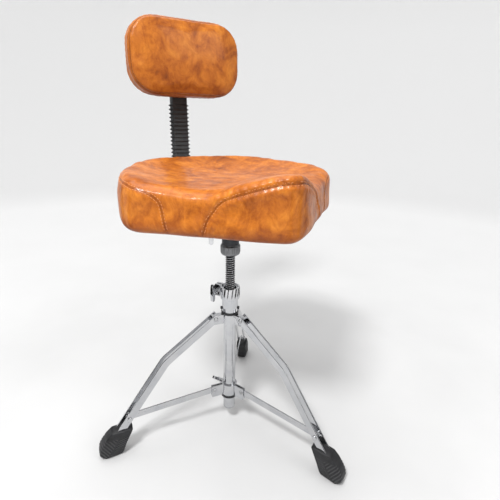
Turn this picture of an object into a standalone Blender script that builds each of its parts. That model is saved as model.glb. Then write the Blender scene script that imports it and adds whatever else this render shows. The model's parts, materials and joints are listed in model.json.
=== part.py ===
"""Drum throne: a screw-height saddle seat with a sliding backrest on a folding double-strip tripod.

The post stands on the assembly's Z axis and the sitter faces -Y. Everything hangs on one empty,
throne_frame, which moves the post so that the origin is on the floor under the middle of the
whole object's box. Lengths are in metres and angles in degrees unless a name says otherwise.
"""
import math

import bmesh
import bpy
from mathutils import Matrix, Vector

# ---- driving dimensions ------------------------------------------------------------------
GAP = 0.0003                    # air between two pieces that touch
SEGMENTS = 28                   # sides of a large turned piece
SMALL_SEGMENTS = 14             # sides of a pin, screw or bolt

# post
TUBE_R = 0.0127
TUBE_WALL = 0.0015
TUBE_BOTTOM = 0.0505
TUBE_TOP = 0.2880
SLEEVE_R = 0.0164
SLEEVE_BOTTOM = 0.2865
SLEEVE_TOP = 0.3360
CLAMP_BOTTOM = 0.3144
CLAMP_TOP = 0.3393
CLAMP_R = 0.0196
CLAMP_EAR_AZ = 123.0            # the side of the post where the clamp is split
HUB_BOTTOM = 0.2615
HUB_TOP = 0.2812
HUB_R = 0.0172

# legs, in the plane of one leg: distance out from the post's axis, and height
LEG_COUNT = 3
LEG_FIRST_AZ = -65.5
LEG_PIVOT = (0.0330, 0.2750)
LEG_BEND = (0.1360, 0.1990)
LEG_ENTRY = (0.2280, 0.0700)    # where the strips go into the boot
LEG_BEND_R = 0.050
STRIP_HEIGHT = 0.0140
STRIP_THICK = 0.0025
STRIP_SPACING = 0.0155          # between the middles of a leg's two strips
STRIP_IN_BOOT = 0.030
STAY_INNER = (0.0350, 0.1010)   # where a stay is pinned to the sliding collar
STAY_OUTER = (0.2130, 0.0900)   # where a stay is pinned to its leg
STAY_HEIGHT = 0.0135
STAY_THICK = 0.0030
PIN_R = 0.0025

# sliding brace collar
BRACE_BOTTOM = 0.0850
BRACE_TOP = 0.1105
BRACE_R = 0.0166
BRACE_BOLT_AZ = 114.5

# screw spindle, 4.5 mm a turn
SPINDLE_R = 0.0096
SPINDLE_BOTTOM = 0.1800
SPINDLE_TOP = 0.4800
GRIP_R = 0.0190
GRIP_BOTTOM = 0.4066
GRIP_TOP = 0.4290

# seat
SEAT_BOTTOM = 0.4850
SEAT_SIDES = 44
COVER_THICK = 0.0022
# half of the seat's outline: distance from the middle, distance forward of the post, lip height
SEAT_STATIONS = [
    (0.000, 0.207, 0.584),
    (0.030, 0.199, 0.583),
    (0.066, 0.164, 0.567),
    (0.104, 0.126, 0.549),
    (0.150, 0.088, 0.551),
    (0.190, 0.062, 0.561),
    (0.203, 0.020, 0.568),
    (0.193, -0.040, 0.571),
    (0.170, -0.090, 0.574),
    (0.135, -0.136, 0.576),
    (0.078, -0.170, 0.577),
    (0.000, -0.181, 0.577),
]
SEAT_DISH_Z = 0.549             # the lowest place of the seat's top
LIP_ROUND = 0.013
HEM_ROUND = 0.012
HEM_WIDTH = 0.016
BOARD_THICK = 0.012
BRACKET_THICK = 0.0034
BRACKET_TOP = SEAT_BOTTOM + COVER_THICK - GAP

# backrest: a flat bar that leans back by LEAN
LEAN = 2.5
BAR_WIDTH = 0.030
BAR_THICK = 0.006
BAR_INNER_END = 0.055
BAR_BEND_R = 0.022
UPRIGHT_FOOT = (0.260, 0.575)   # a point of the upright's middle line: back from the post, height
UPRIGHT_TOP = 0.243             # along the upright from that point
RECEIVER_Y = (0.080, 0.138)
RECEIVER_WALL = 0.003
BAR_Z = BRACKET_TOP - BRACKET_THICK - 2 * GAP - RECEIVER_WALL - BAR_THICK / 2
BELLOWS_LOW = -0.068            # along the upright
BELLOWS_HIGH = 0.1265
BELLOWS_FACE = 0.0350            # width of its flat front and back
BELLOWS_WIDTH = 0.0470           # over the tips of the pleats
BELLOWS_DEPTH = 0.0205
BELLOWS_TEETH = 20
PAD_LOW = 0.1198                # along the upright
PAD_HIGH = 0.2633
PAD_WIDTH = 0.2342
PAD_CORNER = 0.048
PAD_HEM = -0.0264               # across the upright, forward is negative
PAD_FRONT = -0.0794
PAD_PANEL_THICK = 0.0018
PAD_PLATE_FACE = PAD_HEM + PAD_PANEL_THICK + 2 * GAP
PAD_BOARD_THICK = 0.0085
PAD_SIDES = 40

# ---- scene helpers -----------------------------------------------------------------------
for old in list(bpy.data.objects):
    bpy.data.objects.remove(old, do_unlink=True)

PARTS = bpy.data.collections.new("drum_throne")
CUTTERS = bpy.data.collections.new("cutters")
bpy.context.scene.collection.children.link(PARTS)
bpy.context.scene.collection.children.link(CUTTERS)


def material(name, color, roughness, metallic=0.0):
    made = bpy.data.materials.new(name)
    made.use_nodes = True
    shader = made.node_tree.nodes["Principled BSDF"]
    shader.inputs["Base Color"].default_value = (*color, 1.0)
    shader.inputs["Roughness"].default_value = roughness
    shader.inputs["Metallic"].default_value = metallic
    return made


def empty(name, parent=None, location=(0.0, 0.0, 0.0), rotation=(0.0, 0.0, 0.0)):
    made = bpy.data.objects.new(name, None)
    made.empty_display_size = 0.02
    made.parent = parent
    made.location = location
    made.rotation_euler = [math.radians(angle) for angle in rotation]
    PARTS.objects.link(made)
    return made


def finish(made, parent, look, location=(0.0, 0.0, 0.0), rotation=(0.0, 0.0, 0.0), crease=30.0):
    """Put a mesh object under its parent, with its material and smooth round faces."""
    made.parent = parent
    made.location = location
    made.rotation_euler = [math.radians(angle) for angle in rotation]
    made.data.materials.clear()
    made.data.materials.append(look)
    if crease:
        made.data.shade_smooth()
        made.data.set_sharp_from_angle(angle=math.radians(crease))
    return made


def mesh_object(name, build, collection=None):
    """A new object whose mesh is what build(bm) leaves in an empty bmesh."""
    bm = bmesh.new()
    build(bm)
    data = bpy.data.meshes.new(name)
    bm.to_mesh(data)
    bm.free()
    made = bpy.data.objects.new(name, data)
    (collection or PARTS).objects.link(made)
    return made


def turned(name, profile, segments=SEGMENTS, collection=None):
    """A profile of (radius, height), its outer side top to bottom, spun round Z."""
    def build(bm):
        points = [bm.verts.new((radius, 0.0, height)) for radius, height in profile]
        closed = profile[0][0] > 0.0
        ends = points[1:] + points[:1] if closed else points[1:]
        for start, end in zip(points, ends):
            bm.edges.new((start, end))
    made = mesh_object(name, build, collection)
    screw = made.modifiers.new("Screw", "SCREW")
    screw.steps = segments
    screw.render_steps = segments
    screw.use_merge_vertices = True
    screw.merge_threshold = 0.0001
    screw.use_smooth_shade = True
    return made


def ring(outer, inner, high, low):
    """The profile of a plain hollow cylinder."""
    return [(outer, high), (outer, low), (inner, low), (inner, high)]


def plate(name, outline, thick, holes=(), collection=None):
    """A flat outline in XY with holes, thick about Z = 0, made a closed mesh."""
    curve = bpy.data.curves.new(name, "CURVE")
    curve.dimensions = "2D"
    curve.fill_mode = "BOTH"
    curve.extrude = thick / 2.0
    for loop in (outline, *holes):
        spline = curve.splines.new("POLY")
        spline.points.add(len(loop) - 1)
        for point, (x, y) in zip(spline.points, loop):
            point.co = (x, y, 0.0, 1.0)
        spline.use_cyclic_u = True
    drawn = bpy.data.objects.new(name + "_outline", curve)
    PARTS.objects.link(drawn)
    depsgraph = bpy.context.evaluated_depsgraph_get()
    data = bpy.data.meshes.new_from_object(drawn.evaluated_get(depsgraph))
    data.name = name
    bm = bmesh.new()
    bm.from_mesh(data)
    bmesh.ops.remove_doubles(bm, verts=bm.verts[:], dist=0.00001)
    bmesh.ops.recalc_face_normals(bm, faces=bm.faces[:])
    bm.to_mesh(data)
    bm.free()
    made = bpy.data.objects.new(name, data)
    made.matrix_world = drawn.matrix_world
    (collection or PARTS).objects.link(made)
    bpy.data.objects.remove(drawn, do_unlink=True)
    return made


def turn_mesh(made, matrix):
    made.data.transform(matrix)
    return made


def stand_up(made):
    """Turn a plate drawn in XY into the XZ plane, its thickness along Y."""
    return turn_mesh(made, Matrix.Rotation(math.radians(90.0), 4, "X"))


def side_on(made):
    """Turn a plate drawn as (Y, Z) into the YZ plane, its thickness along X."""
    turn_y_up = Matrix(((0, 0, 1, 0), (1, 0, 0, 0), (0, 1, 0, 0), (0, 0, 0, 1)))
    return turn_mesh(made, turn_y_up)


def rod(name, radius, length, middle, axis, segments=SMALL_SEGMENTS, collection=None):
    """A plain cylinder about a middle point."""
    def build(bm):
        bmesh.ops.create_cone(bm, cap_ends=True, segments=segments, radius1=radius,
                              radius2=radius, depth=length)
        turn = Vector(axis).to_track_quat("Z", "Y").to_matrix().to_4x4()
        bmesh.ops.transform(bm, verts=bm.verts[:], matrix=Matrix.Translation(middle) @ turn)
    return mesh_object(name, build, collection)


def block(name, size, middle, turn=None, collection=None):
    """A box about a middle point, turned first if a matrix is given."""
    def build(bm):
        bmesh.ops.create_cube(bm, size=1.0)
        bmesh.ops.scale(bm, verts=bm.verts[:], vec=size)
        matrix = Matrix.Translation(middle) @ (turn or Matrix.Identity(4))
        bmesh.ops.transform(bm, verts=bm.verts[:], matrix=matrix)
    return mesh_object(name, build, collection)


def boolean(made, tool, operation):
    """Cut or join made with a tool that rides in the same frame, and hide the tool."""
    tool.parent = made
    tool.hide_render = True
    tool.display_type = "WIRE"
    step = made.modifiers.new(operation.title(), "BOOLEAN")
    step.operation = operation
    step.solver = "EXACT"
    step.object = tool


def cut(made, tool):
    boolean(made, tool, "DIFFERENCE")


def join(made, tool):
    boolean(made, tool, "UNION")


# ---- outlines ----------------------------------------------------------------------------
def arc(middle, radius, start, end, steps):
    """Points on an arc, angles in degrees."""
    angles = [math.radians(start + (end - start) * i / steps) for i in range(steps + 1)]
    return [(middle[0] + radius * math.cos(a), middle[1] + radius * math.sin(a)) for a in angles]


def circle(radius, steps=SEGMENTS, middle=(0.0, 0.0)):
    return arc(middle, radius, 0.0, 360.0 * (steps - 1) / steps, steps - 1)


def rounded_rectangle(width, height, corner, steps=3, middle=(0.0, 0.0)):
    points = []
    for index, (sx, sy) in enumerate(((1, 1), (-1, 1), (-1, -1), (1, -1))):
        centre = (middle[0] + sx * (width / 2 - corner), middle[1] + sy * (height / 2 - corner))
        points += arc(centre, corner, 90.0 * index, 90.0 * index + 90.0, steps)
    return points


def slot_shape(start, end, radius, steps=6):
    """A bar with round ends from start to end."""
    heading = math.degrees(math.atan2(end[1] - start[1], end[0] - start[0]))
    return (arc(end, radius, heading - 90.0, heading + 90.0, steps)
            + arc(start, radius, heading + 90.0, heading + 270.0, steps))


def bent_strip(path, half, bend_radius, steps=6):
    """The outline of a strip along three points, with a round bend at the middle one."""
    first, corner, last = (Vector(point) for point in path)
    along = (corner - first).normalized()
    onward = (last - corner).normalized()
    turn = math.atan2(along.x * onward.y - along.y * onward.x, along.dot(onward))
    side = 1.0 if turn > 0 else -1.0
    back = bend_radius * math.tan(abs(turn) / 2.0)
    normal = Vector((-along.y, along.x)) * side
    centre = corner - along * back + normal * bend_radius
    start = math.degrees(math.atan2(-normal.y, -normal.x))
    end = start + math.degrees(turn)
    near = arc(centre, bend_radius - half, start, end, steps)
    far = arc(centre, bend_radius + half, start, end, steps)
    end_normal = Vector((-onward.y, onward.x)) * side
    inside = [first + normal * half, *near, last + end_normal * half]
    outside = [last - end_normal * half, *reversed(far), first - normal * half]
    return [(point[0], point[1]) for point in inside + outside]


def lugged_circle(radius, lugs, steps=SEGMENTS):
    """A circle with straight lugs: each lug is (azimuth, low side, high side, reach)."""
    spans = []
    for azimuth, low, high, reach in lugs:
        corners = [(math.sqrt(radius ** 2 - low ** 2), low), (reach, low),
                   (reach, high), (math.sqrt(radius ** 2 - high ** 2), high)]
        turn = math.radians(azimuth)
        turned_points = [(x * math.cos(turn) - y * math.sin(turn),
                          x * math.sin(turn) + y * math.cos(turn)) for x, y in corners]
        start = azimuth + math.degrees(math.asin(low / radius))
        end = azimuth + math.degrees(math.asin(high / radius))
        spans.append((start % 360.0, end % 360.0, turned_points))
    spans.sort(key=lambda span: span[0])
    outline = []
    for index, (start, end, points) in enumerate(spans):
        outline += points
        following = spans[(index + 1) % len(spans)][0]
        sweep = (following - end) % 360.0
        count = max(2, round(steps * sweep / 360.0))
        outline += arc((0.0, 0.0), radius, end, end + sweep, count)[1:-1]
    return outline


def smooth_loop(stations, count):
    """A closed Catmull-Rom curve through the stations, sampled at equal steps of length."""
    total = len(stations)
    fine = []
    for index in range(total):
        p0, p1, p2, p3 = (Vector(stations[(index + shift) % total]) for shift in (-1, 0, 1, 2))
        for step in range(12):
            t = step / 12.0
            fine.append(0.5 * ((2 * p1) + (p2 - p0) * t + (2 * p0 - 5 * p1 + 4 * p2 - p3) * t * t
                               + (3 * p1 - 3 * p2 + p3 - p0) * t ** 3))
    lengths = [0.0]
    for start, end in zip(fine, fine[1:] + fine[:1]):
        lengths.append(lengths[-1] + (end - start).length)
    samples = []
    for index in range(count):
        goal = lengths[-1] * index / count
        place = max(i for i in range(len(fine)) if lengths[i] <= goal + 1e-12)
        share = (goal - lengths[place]) / (lengths[place + 1] - lengths[place])
        samples.append(fine[place].lerp(fine[(place + 1) % len(fine)], share))
    return samples


def inset_loop(points, distance):
    """Move a closed loop of points inwards in plan, leaving each one's height."""
    moved = []
    total = len(points)
    for index, point in enumerate(points):
        ahead = points[(index + 1) % total]
        behind = points[index - 1]
        tangent = Vector((ahead.x - behind.x, ahead.y - behind.y)).normalized()
        inward = Vector((-tangent.y, tangent.x))
        moved.append(Vector((point.x + inward.x * distance, point.y + inward.y * distance,
                             point.z)))
    return moved


def skin(bm, rings, start_cap, end_cap):
    """Faces between rings of equal count, wound so that a ring's next one lies outwards."""
    rows = [[bm.verts.new(point) for point in loop] for loop in rings]
    for upper, lower in zip(rows, rows[1:]):
        for index in range(len(upper)):
            following = (index + 1) % len(upper)
            bm.faces.new((upper[index], lower[index], lower[following], upper[following]))
    for wanted, row in ((start_cap, rows[0]), (end_cap, rows[-1])):
        if wanted == "point":
            middle = bm.verts.new(sum((vert.co for vert in row), Vector()) / len(row))
            for index in range(len(row)):
                bm.faces.new((row[index], row[(index + 1) % len(row)], middle))
        elif wanted == "flat":
            bm.faces.new(row)
    bmesh.ops.recalc_face_normals(bm, faces=bm.faces[:])


# ---- materials ---------------------------------------------------------------------------
CHROME = material("chrome", (0.83, 0.84, 0.86), 0.08, 1.0)
STEEL = material("satin_steel", (0.55, 0.56, 0.57), 0.34, 1.0)
BLACK_STEEL = material("black_steel", (0.03, 0.03, 0.035), 0.45, 0.6)
RUBBER = material("black_rubber", (0.018, 0.018, 0.02), 0.62)
PLASTIC = material("black_plastic", (0.02, 0.02, 0.022), 0.4)
LEATHER = material("cognac_leather", (0.60, 0.17, 0.035), 0.36)
FOAM = material("foam", (0.75, 0.68, 0.42), 0.9)
PLYWOOD = material("plywood", (0.52, 0.36, 0.19), 0.7)
LINING = material("lining_cloth", (0.03, 0.03, 0.03), 0.9)
NYLON = material("nylon", (0.80, 0.78, 0.70), 0.5)

FRAME = empty("throne_frame")


# ---- fasteners ---------------------------------------------------------------------------
def pin_profile(radius, half_span, head_radius, head_thick):
    """A headed pin about its own middle, with a head at each end."""
    top = half_span + head_thick
    return [(0.0, top), (head_radius * 0.7, top), (head_radius, half_span + head_thick * 0.4),
            (head_radius, half_span), (radius, half_span), (radius, -half_span),
            (head_radius, -half_span), (head_radius, -half_span - head_thick * 0.4),
            (head_radius * 0.7, -top), (0.0, -top)]


def bolt_profile(radius, length, head_radius, head_thick):
    """A bolt whose head's underside is at 0 and whose shank runs down."""
    return [(0.0, head_thick), (head_radius * 0.75, head_thick),
            (head_radius, head_thick * 0.6), (head_radius, 0.0), (radius, 0.0),
            (radius, -length), (0.0, -length)]


WING_SPAN = 0.0185              # from the bolt's axis to a wing's tip
WING_TIP_R = 0.0042
WING_WAIST = 0.0030
WING_THICK = 0.0056
WING_STEM_R = 0.0045
WING_STEM = 0.0080
BOLT_R = 0.0029


def wing_bolt(name, parent, shank, outward, roll, stem=WING_STEM):
    """A wing bolt: its shank goes in along -Z from the stem's foot, its wing is outside."""
    tips = WING_SPAN - WING_TIP_R
    outline = (arc((tips, 0.0), WING_TIP_R, -100.0, 100.0, 5)
               + [(0.0, WING_WAIST + 0.0022)]
               + arc((-tips, 0.0), WING_TIP_R, 80.0, 280.0, 5)
               + [(0.0, -WING_WAIST - 0.0022)])
    made = stand_up(plate(name, outline, WING_THICK))
    turn_mesh(made, Matrix.Translation((0.0, 0.0, stem + WING_WAIST)))
    profile = [(0.0, stem + 0.002), (WING_STEM_R, stem + 0.002), (WING_STEM_R, 0.0),
               (BOLT_R, 0.0), (BOLT_R, -shank), (0.0, -shank)]
    join(made, turned(name + "_shank", profile, SMALL_SEGMENTS, CUTTERS))
    facing = Vector(outward).to_track_quat("Z", "Y").to_euler()
    finish(made, parent, CHROME)
    turn = facing.to_matrix() @ Matrix.Rotation(math.radians(roll), 3, "Z")
    made.rotation_euler = turn.to_euler()
    return made


def around(azimuth, radius, height):
    turn = math.radians(azimuth)
    return (radius * math.cos(turn), radius * math.sin(turn), height)


def direction(azimuth):
    return around(azimuth, 1.0, 0.0)


# ---- tripod post -------------------------------------------------------------------------
LEG_AZIMUTHS = [LEG_FIRST_AZ + 360.0 * index / LEG_COUNT for index in range(LEG_COUNT)]
LEG_NAMES = ["a", "b", "c"]
TUBE_BORE = TUBE_R - TUBE_WALL
COLLAR_BORE = TUBE_R + GAP
SCREW_AZIMUTHS = (163.0, -37.0)
SCREW_Z = SLEEVE_BOTTOM + 0.0065


def base_tube():
    made = turned("base_tube", ring(TUBE_R, TUBE_BORE, TUBE_TOP, TUBE_BOTTOM))
    return finish(made, FRAME, CHROME)


def tube_end_plug():
    low = TUBE_BOTTOM - GAP
    stub = TUBE_BORE - GAP
    profile = [(0.0, TUBE_BOTTOM + 0.012), (stub, TUBE_BOTTOM + 0.012), (stub, low),
               (TUBE_R, low), (TUBE_R, low - 0.0008), (TUBE_R * 0.9, low - 0.0022),
               (TUBE_R * 0.6, low - 0.0030), (0.0, low - 0.0030)]
    return finish(turned("tube_end_plug", profile), FRAME, CHROME)


def upper_sleeve():
    bore = COLLAR_BORE
    profile = [(SLEEVE_R, SLEEVE_TOP), (SLEEVE_R, SLEEVE_BOTTOM), (bore, SLEEVE_BOTTOM),
               (bore, SLEEVE_TOP)]
    made = turned("upper_sleeve", profile)
    for azimuth in SCREW_AZIMUTHS:
        tool = rod("sleeve_screw_hole", 0.0021, 0.012, around(azimuth, SLEEVE_R, SCREW_Z),
                   direction(azimuth), collection=CUTTERS)
        cut(made, tool)
    return finish(made, FRAME, CHROME)


def sleeve_screws():
    for index, azimuth in enumerate(SCREW_AZIMUTHS):
        name = f"sleeve_screw_{index + 1}"
        reach = SLEEVE_R + GAP
        profile = bolt_profile(0.0018, reach - TUBE_R - 2 * GAP, 0.0034, 0.0026)
        made = finish(turned(name, profile, SMALL_SEGMENTS), FRAME, BLACK_STEEL,
                      around(azimuth, reach, SCREW_Z))
        made.rotation_euler = Vector(direction(azimuth)).to_track_quat("Z", "Y").to_euler()


def spindle_nut():
    low = TUBE_TOP + GAP
    profile = ring(TUBE_R, SPINDLE_R + 0.0004, low + 0.030, low)
    return finish(turned("spindle_nut", profile), FRAME, STEEL)


def hub_washer():
    profile = ring(HUB_R + 0.0004, COLLAR_BORE, SLEEVE_BOTTOM - GAP, HUB_TOP + GAP)
    return finish(turned("hub_washer", profile), FRAME, PLASTIC)


def leg_hub():
    lugs = [(azimuth, -0.0062, 0.0062, LEG_PIVOT[0] + 0.0065) for azimuth in LEG_AZIMUTHS]
    made = plate("leg_hub", lugged_circle(HUB_R, lugs), HUB_TOP - HUB_BOTTOM,
                 [circle(COLLAR_BORE)])
    turn_mesh(made, Matrix.Translation((0.0, 0.0, (HUB_TOP + HUB_BOTTOM) / 2)))
    for azimuth in LEG_AZIMUTHS:
        tool = rod("hub_pin_hole", PIN_R + GAP, 0.02, around(azimuth, *LEG_PIVOT),
                   direction(azimuth + 90.0), collection=CUTTERS)
        cut(made, tool)
    return finish(made, FRAME, CHROME)


CLAMP_EAR_INNER = 0.0013
CLAMP_EAR_OUTER = 0.0066
CLAMP_BOLT_R = 0.0262           # how far out the clamp's bolt crosses its ears
CLAMP_BOLT_Z = (CLAMP_TOP + CLAMP_BOTTOM) / 2


def clamp_collar():
    ears = [(CLAMP_EAR_AZ, -CLAMP_EAR_OUTER, CLAMP_EAR_OUTER, CLAMP_BOLT_R + 0.0056)]
    made = plate("clamp_collar", lugged_circle(CLAMP_R, ears, 14), CLAMP_TOP - CLAMP_BOTTOM,
                 [circle(SLEEVE_R + GAP)])
    turn_mesh(made, Matrix.Translation((0.0, 0.0, CLAMP_BOLT_Z)))
    turn = Matrix.Rotation(math.radians(CLAMP_EAR_AZ), 4, "Z")
    slit = block("clamp_slit", (0.030, 2 * CLAMP_EAR_INNER, 0.04),
                 around(CLAMP_EAR_AZ, 0.0255, CLAMP_BOLT_Z), turn, CUTTERS)
    cut(made, slit)
    hole = rod("clamp_bolt_hole", BOLT_R + GAP, 0.03,
               around(CLAMP_EAR_AZ, CLAMP_BOLT_R, CLAMP_BOLT_Z), direction(CLAMP_EAR_AZ + 90.0),
               collection=CUTTERS)
    cut(made, hole)
    return finish(made, FRAME, CHROME)


def clamp_bolt_and_nut():
    ear = Vector(around(CLAMP_EAR_AZ, CLAMP_BOLT_R, CLAMP_BOLT_Z))
    side = Vector(direction(CLAMP_EAR_AZ + 90.0))
    nut_thick = 0.005
    wing_foot = ear + side * (CLAMP_EAR_OUTER + GAP)
    pivot = empty("clamp_wing_axis", FRAME, wing_foot)
    wing_bolt("clamp_wing_bolt", pivot, 2 * CLAMP_EAR_OUTER + nut_thick + 0.002, side, 90.0,
              0.0130)
    middle = ear - side * (CLAMP_EAR_OUTER + GAP + nut_thick / 2)
    made = plate("clamp_nut", circle(0.0056, 6), nut_thick, [circle(BOLT_R + GAP, 14)])
    finish(made, FRAME, STEEL, middle)
    made.rotation_euler = side.to_track_quat("Z", "Y").to_euler()


# ---- legs --------------------------------------------------------------------------------
def leg_direction():
    start, end = Vector(LEG_BEND), Vector(LEG_ENTRY)
    return (end - start).normalized()


def leg_path():
    upper = (Vector(LEG_BEND) - Vector(LEG_PIVOT)).normalized()
    first = Vector(LEG_PIVOT) - upper * 0.0075
    last = Vector(LEG_ENTRY) + leg_direction() * STRIP_IN_BOOT
    return [tuple(first), LEG_BEND, tuple(last)]


def leg_strip(name, parent, offset, side):
    made = stand_up(plate(name, bent_strip(leg_path(), STRIP_HEIGHT / 2, LEG_BEND_R),
                          STRIP_THICK, [circle(PIN_R + GAP, 14, LEG_PIVOT)]))
    turn_mesh(made, Matrix.Translation((0.0, side * STRIP_SPACING / 2, 0.0)))
    head = rod(name + "_rivet_head", 0.0045, 0.0030,
               (STAY_OUTER[0], side * (STRIP_SPACING / 2 + 0.0020), STAY_OUTER[1]), (0, 1, 0),
               collection=CUTTERS)
    join(made, head)
    return finish(made, parent, CHROME, offset)


BOOT_SECTIONS = [               # height, inner end, outer end, half width
    (0.0120, 0.2360, 0.2640, 0.0105),
    (0.0150, 0.2310, 0.2700, 0.0130),
    (0.0230, 0.2275, 0.2730, 0.0148),
    (0.0360, 0.2225, 0.2680, 0.0152),
    (0.0500, 0.2160, 0.2560, 0.0142),
    (0.0630, 0.2110, 0.2450, 0.0127),
]


def boot(name, parent, offset):
    def build(bm):
        loops = []
        for height, near, far, half in BOOT_SECTIONS:
            middle = ((near + far) / 2, 0.0)
            outline = rounded_rectangle(far - near, 2 * half, half * 0.6, 3, middle)
            loops.append([Vector((x, y, height)) for x, y in outline])
        skin(bm, loops, "flat", "flat")
    made = mesh_object(name, build)
    heading = leg_direction()
    pocket = STRIP_IN_BOOT + 0.014
    middle = Vector(LEG_ENTRY) + heading * (STRIP_IN_BOOT + 0.0005 - pocket / 2)
    turn = Matrix.Rotation(math.atan2(-heading.y, heading.x), 4, "Y")
    size = (pocket, STRIP_SPACING + STRIP_THICK + 2 * GAP, STRIP_HEIGHT + 2 * GAP)
    cut(made, block(name + "_socket", size, (middle.x, 0.0, middle.y), turn, CUTTERS))
    return finish(made, parent, RUBBER, offset)


def legs():
    for name, azimuth in zip(LEG_NAMES, LEG_AZIMUTHS):
        pivot = empty(f"leg_{name}_axis", FRAME, around(azimuth, *LEG_PIVOT), (0, 0, azimuth))
        offset = (-LEG_PIVOT[0], 0.0, -LEG_PIVOT[1])
        leg_strip(f"leg_{name}_strip_left", pivot, offset, 1.0)
        leg_strip(f"leg_{name}_strip_right", pivot, offset, -1.0)
        boot(f"leg_{name}_boot", pivot, offset)
        profile = pin_profile(PIN_R, STRIP_SPACING / 2 + STRIP_THICK / 2 + GAP, 0.0046, 0.0020)
        finish(turned(f"leg_{name}_hub_pin", profile, SMALL_SEGMENTS), pivot, STEEL,
               rotation=(90, 0, 0))


# ---- sliding brace collar and stays --------------------------------------------------------
CLEVIS_INNER = STAY_THICK / 2 + GAP
CLEVIS_OUTER = CLEVIS_INNER + 0.0024
BRACE_BOSS_Z = 0.1035
BRACE_BOSS_REACH = 0.0225


def brace_collar():
    lugs = []
    for azimuth in LEG_AZIMUTHS:
        reach = STAY_INNER[0] + 0.0055
        lugs.append((azimuth, -CLEVIS_OUTER, -CLEVIS_INNER, reach))
        lugs.append((azimuth, CLEVIS_INNER, CLEVIS_OUTER, reach))
    made = plate("brace_collar", lugged_circle(BRACE_R, lugs), BRACE_TOP - BRACE_BOTTOM,
                 [circle(COLLAR_BORE)])
    turn_mesh(made, Matrix.Translation((0.0, 0.0, (BRACE_TOP + BRACE_BOTTOM) / 2)))
    for azimuth in LEG_AZIMUTHS:
        hole = rod("brace_pin_hole", PIN_R + GAP, 0.016, around(azimuth, *STAY_INNER),
                   direction(azimuth + 90.0), collection=CUTTERS)
        cut(made, hole)
    reach = BRACE_BOSS_REACH - COLLAR_BORE - 0.0012
    boss_middle = around(BRACE_BOLT_AZ, BRACE_BOSS_REACH - reach / 2, BRACE_BOSS_Z)
    join(made, rod("brace_boss", 0.0062, reach, boss_middle, direction(BRACE_BOLT_AZ),
                   collection=CUTTERS))
    cut(made, rod("brace_bolt_hole", BOLT_R + GAP, 0.02,
                  around(BRACE_BOLT_AZ, 0.0200, BRACE_BOSS_Z), direction(BRACE_BOLT_AZ),
                  collection=CUTTERS))
    return finish(made, FRAME, CHROME)


def brace_ring():
    profile = ring(BRACE_R + 0.0012, COLLAR_BORE, BRACE_BOTTOM - GAP, BRACE_BOTTOM - 0.0048)
    return finish(turned("brace_ring", profile), FRAME, RUBBER)


def brace_bolt():
    foot = around(BRACE_BOLT_AZ, BRACE_BOSS_REACH + GAP, BRACE_BOSS_Z)
    pivot = empty("brace_wing_axis", FRAME, foot)
    shank = BRACE_BOSS_REACH - TUBE_R - 2 * GAP
    wing_bolt("brace_wing_bolt", pivot, shank, direction(BRACE_BOLT_AZ), 40.0)


def stays():
    for name, azimuth in zip(LEG_NAMES, LEG_AZIMUTHS):
        pivot = empty(f"stay_{name}_axis", FRAME, around(azimuth, *STAY_INNER), (0, 0, azimuth))
        offset = (-STAY_INNER[0], 0.0, -STAY_INNER[1])
        holes = [circle(PIN_R + GAP, 14, STAY_INNER), circle(PIN_R + GAP, 14, STAY_OUTER)]
        made = stand_up(plate(f"stay_{name}", slot_shape(STAY_INNER, STAY_OUTER,
                                                         STAY_HEIGHT / 2), STAY_THICK, holes))
        finish(made, pivot, CHROME, offset)
        inner = pin_profile(PIN_R, CLEVIS_OUTER + GAP, 0.0042, 0.0016)
        finish(turned(f"stay_{name}_collar_pin", inner, SMALL_SEGMENTS), pivot, STEEL,
               rotation=(90, 0, 0))
        width = STRIP_SPACING / 2 - STRIP_THICK / 2 - GAP
        shoulder = STAY_THICK / 2 + GAP
        outer = [(0.0, width), (0.0040, width), (0.0040, shoulder), (PIN_R, shoulder),
                 (PIN_R, -shoulder), (0.0040, -shoulder), (0.0040, -width), (0.0, -width)]
        place = (STAY_OUTER[0] - STAY_INNER[0], 0.0, STAY_OUTER[1] - STAY_INNER[1])
        finish(turned(f"stay_{name}_leg_pin", outer, SMALL_SEGMENTS), pivot, STEEL, place,
               rotation=(90, 0, 0))


# ---- screw spindle -------------------------------------------------------------------------
BUSH_HEIGHT = 0.012
BUSH_BORE = 0.0060


def guide_bush():
    low = SPINDLE_BOTTOM
    made = turned("guide_bush", ring(TUBE_BORE - GAP, BUSH_BORE, low + BUSH_HEIGHT, low))
    return finish(made, FRAME, NYLON)


def spindle():
    neck = BUSH_BORE - GAP
    bush_top = SPINDLE_BOTTOM + BUSH_HEIGHT + GAP
    profile = [(0.0, SPINDLE_TOP), (SPINDLE_R - 0.001, SPINDLE_TOP),
               (SPINDLE_R, SPINDLE_TOP - 0.001), (SPINDLE_R, bush_top), (neck, bush_top),
               (neck, SPINDLE_BOTTOM - GAP), (SPINDLE_R - 0.001, SPINDLE_BOTTOM - GAP),
               (SPINDLE_R - 0.001, SPINDLE_BOTTOM - 0.004), (0.0, SPINDLE_BOTTOM - 0.004)]
    return finish(turned("spindle", profile), FRAME, STEEL)


def grip_collar():
    bore = SPINDLE_R + GAP
    profile = [(GRIP_R - 0.001, GRIP_TOP), (GRIP_R, GRIP_TOP - 0.001),
               (GRIP_R, GRIP_BOTTOM + 0.006), (GRIP_R - 0.0022, GRIP_BOTTOM + 0.0018),
               (GRIP_R - 0.006, GRIP_BOTTOM), (bore, GRIP_BOTTOM), (bore, GRIP_TOP)]
    return finish(turned("grip_collar", profile), FRAME, STEEL)


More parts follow.
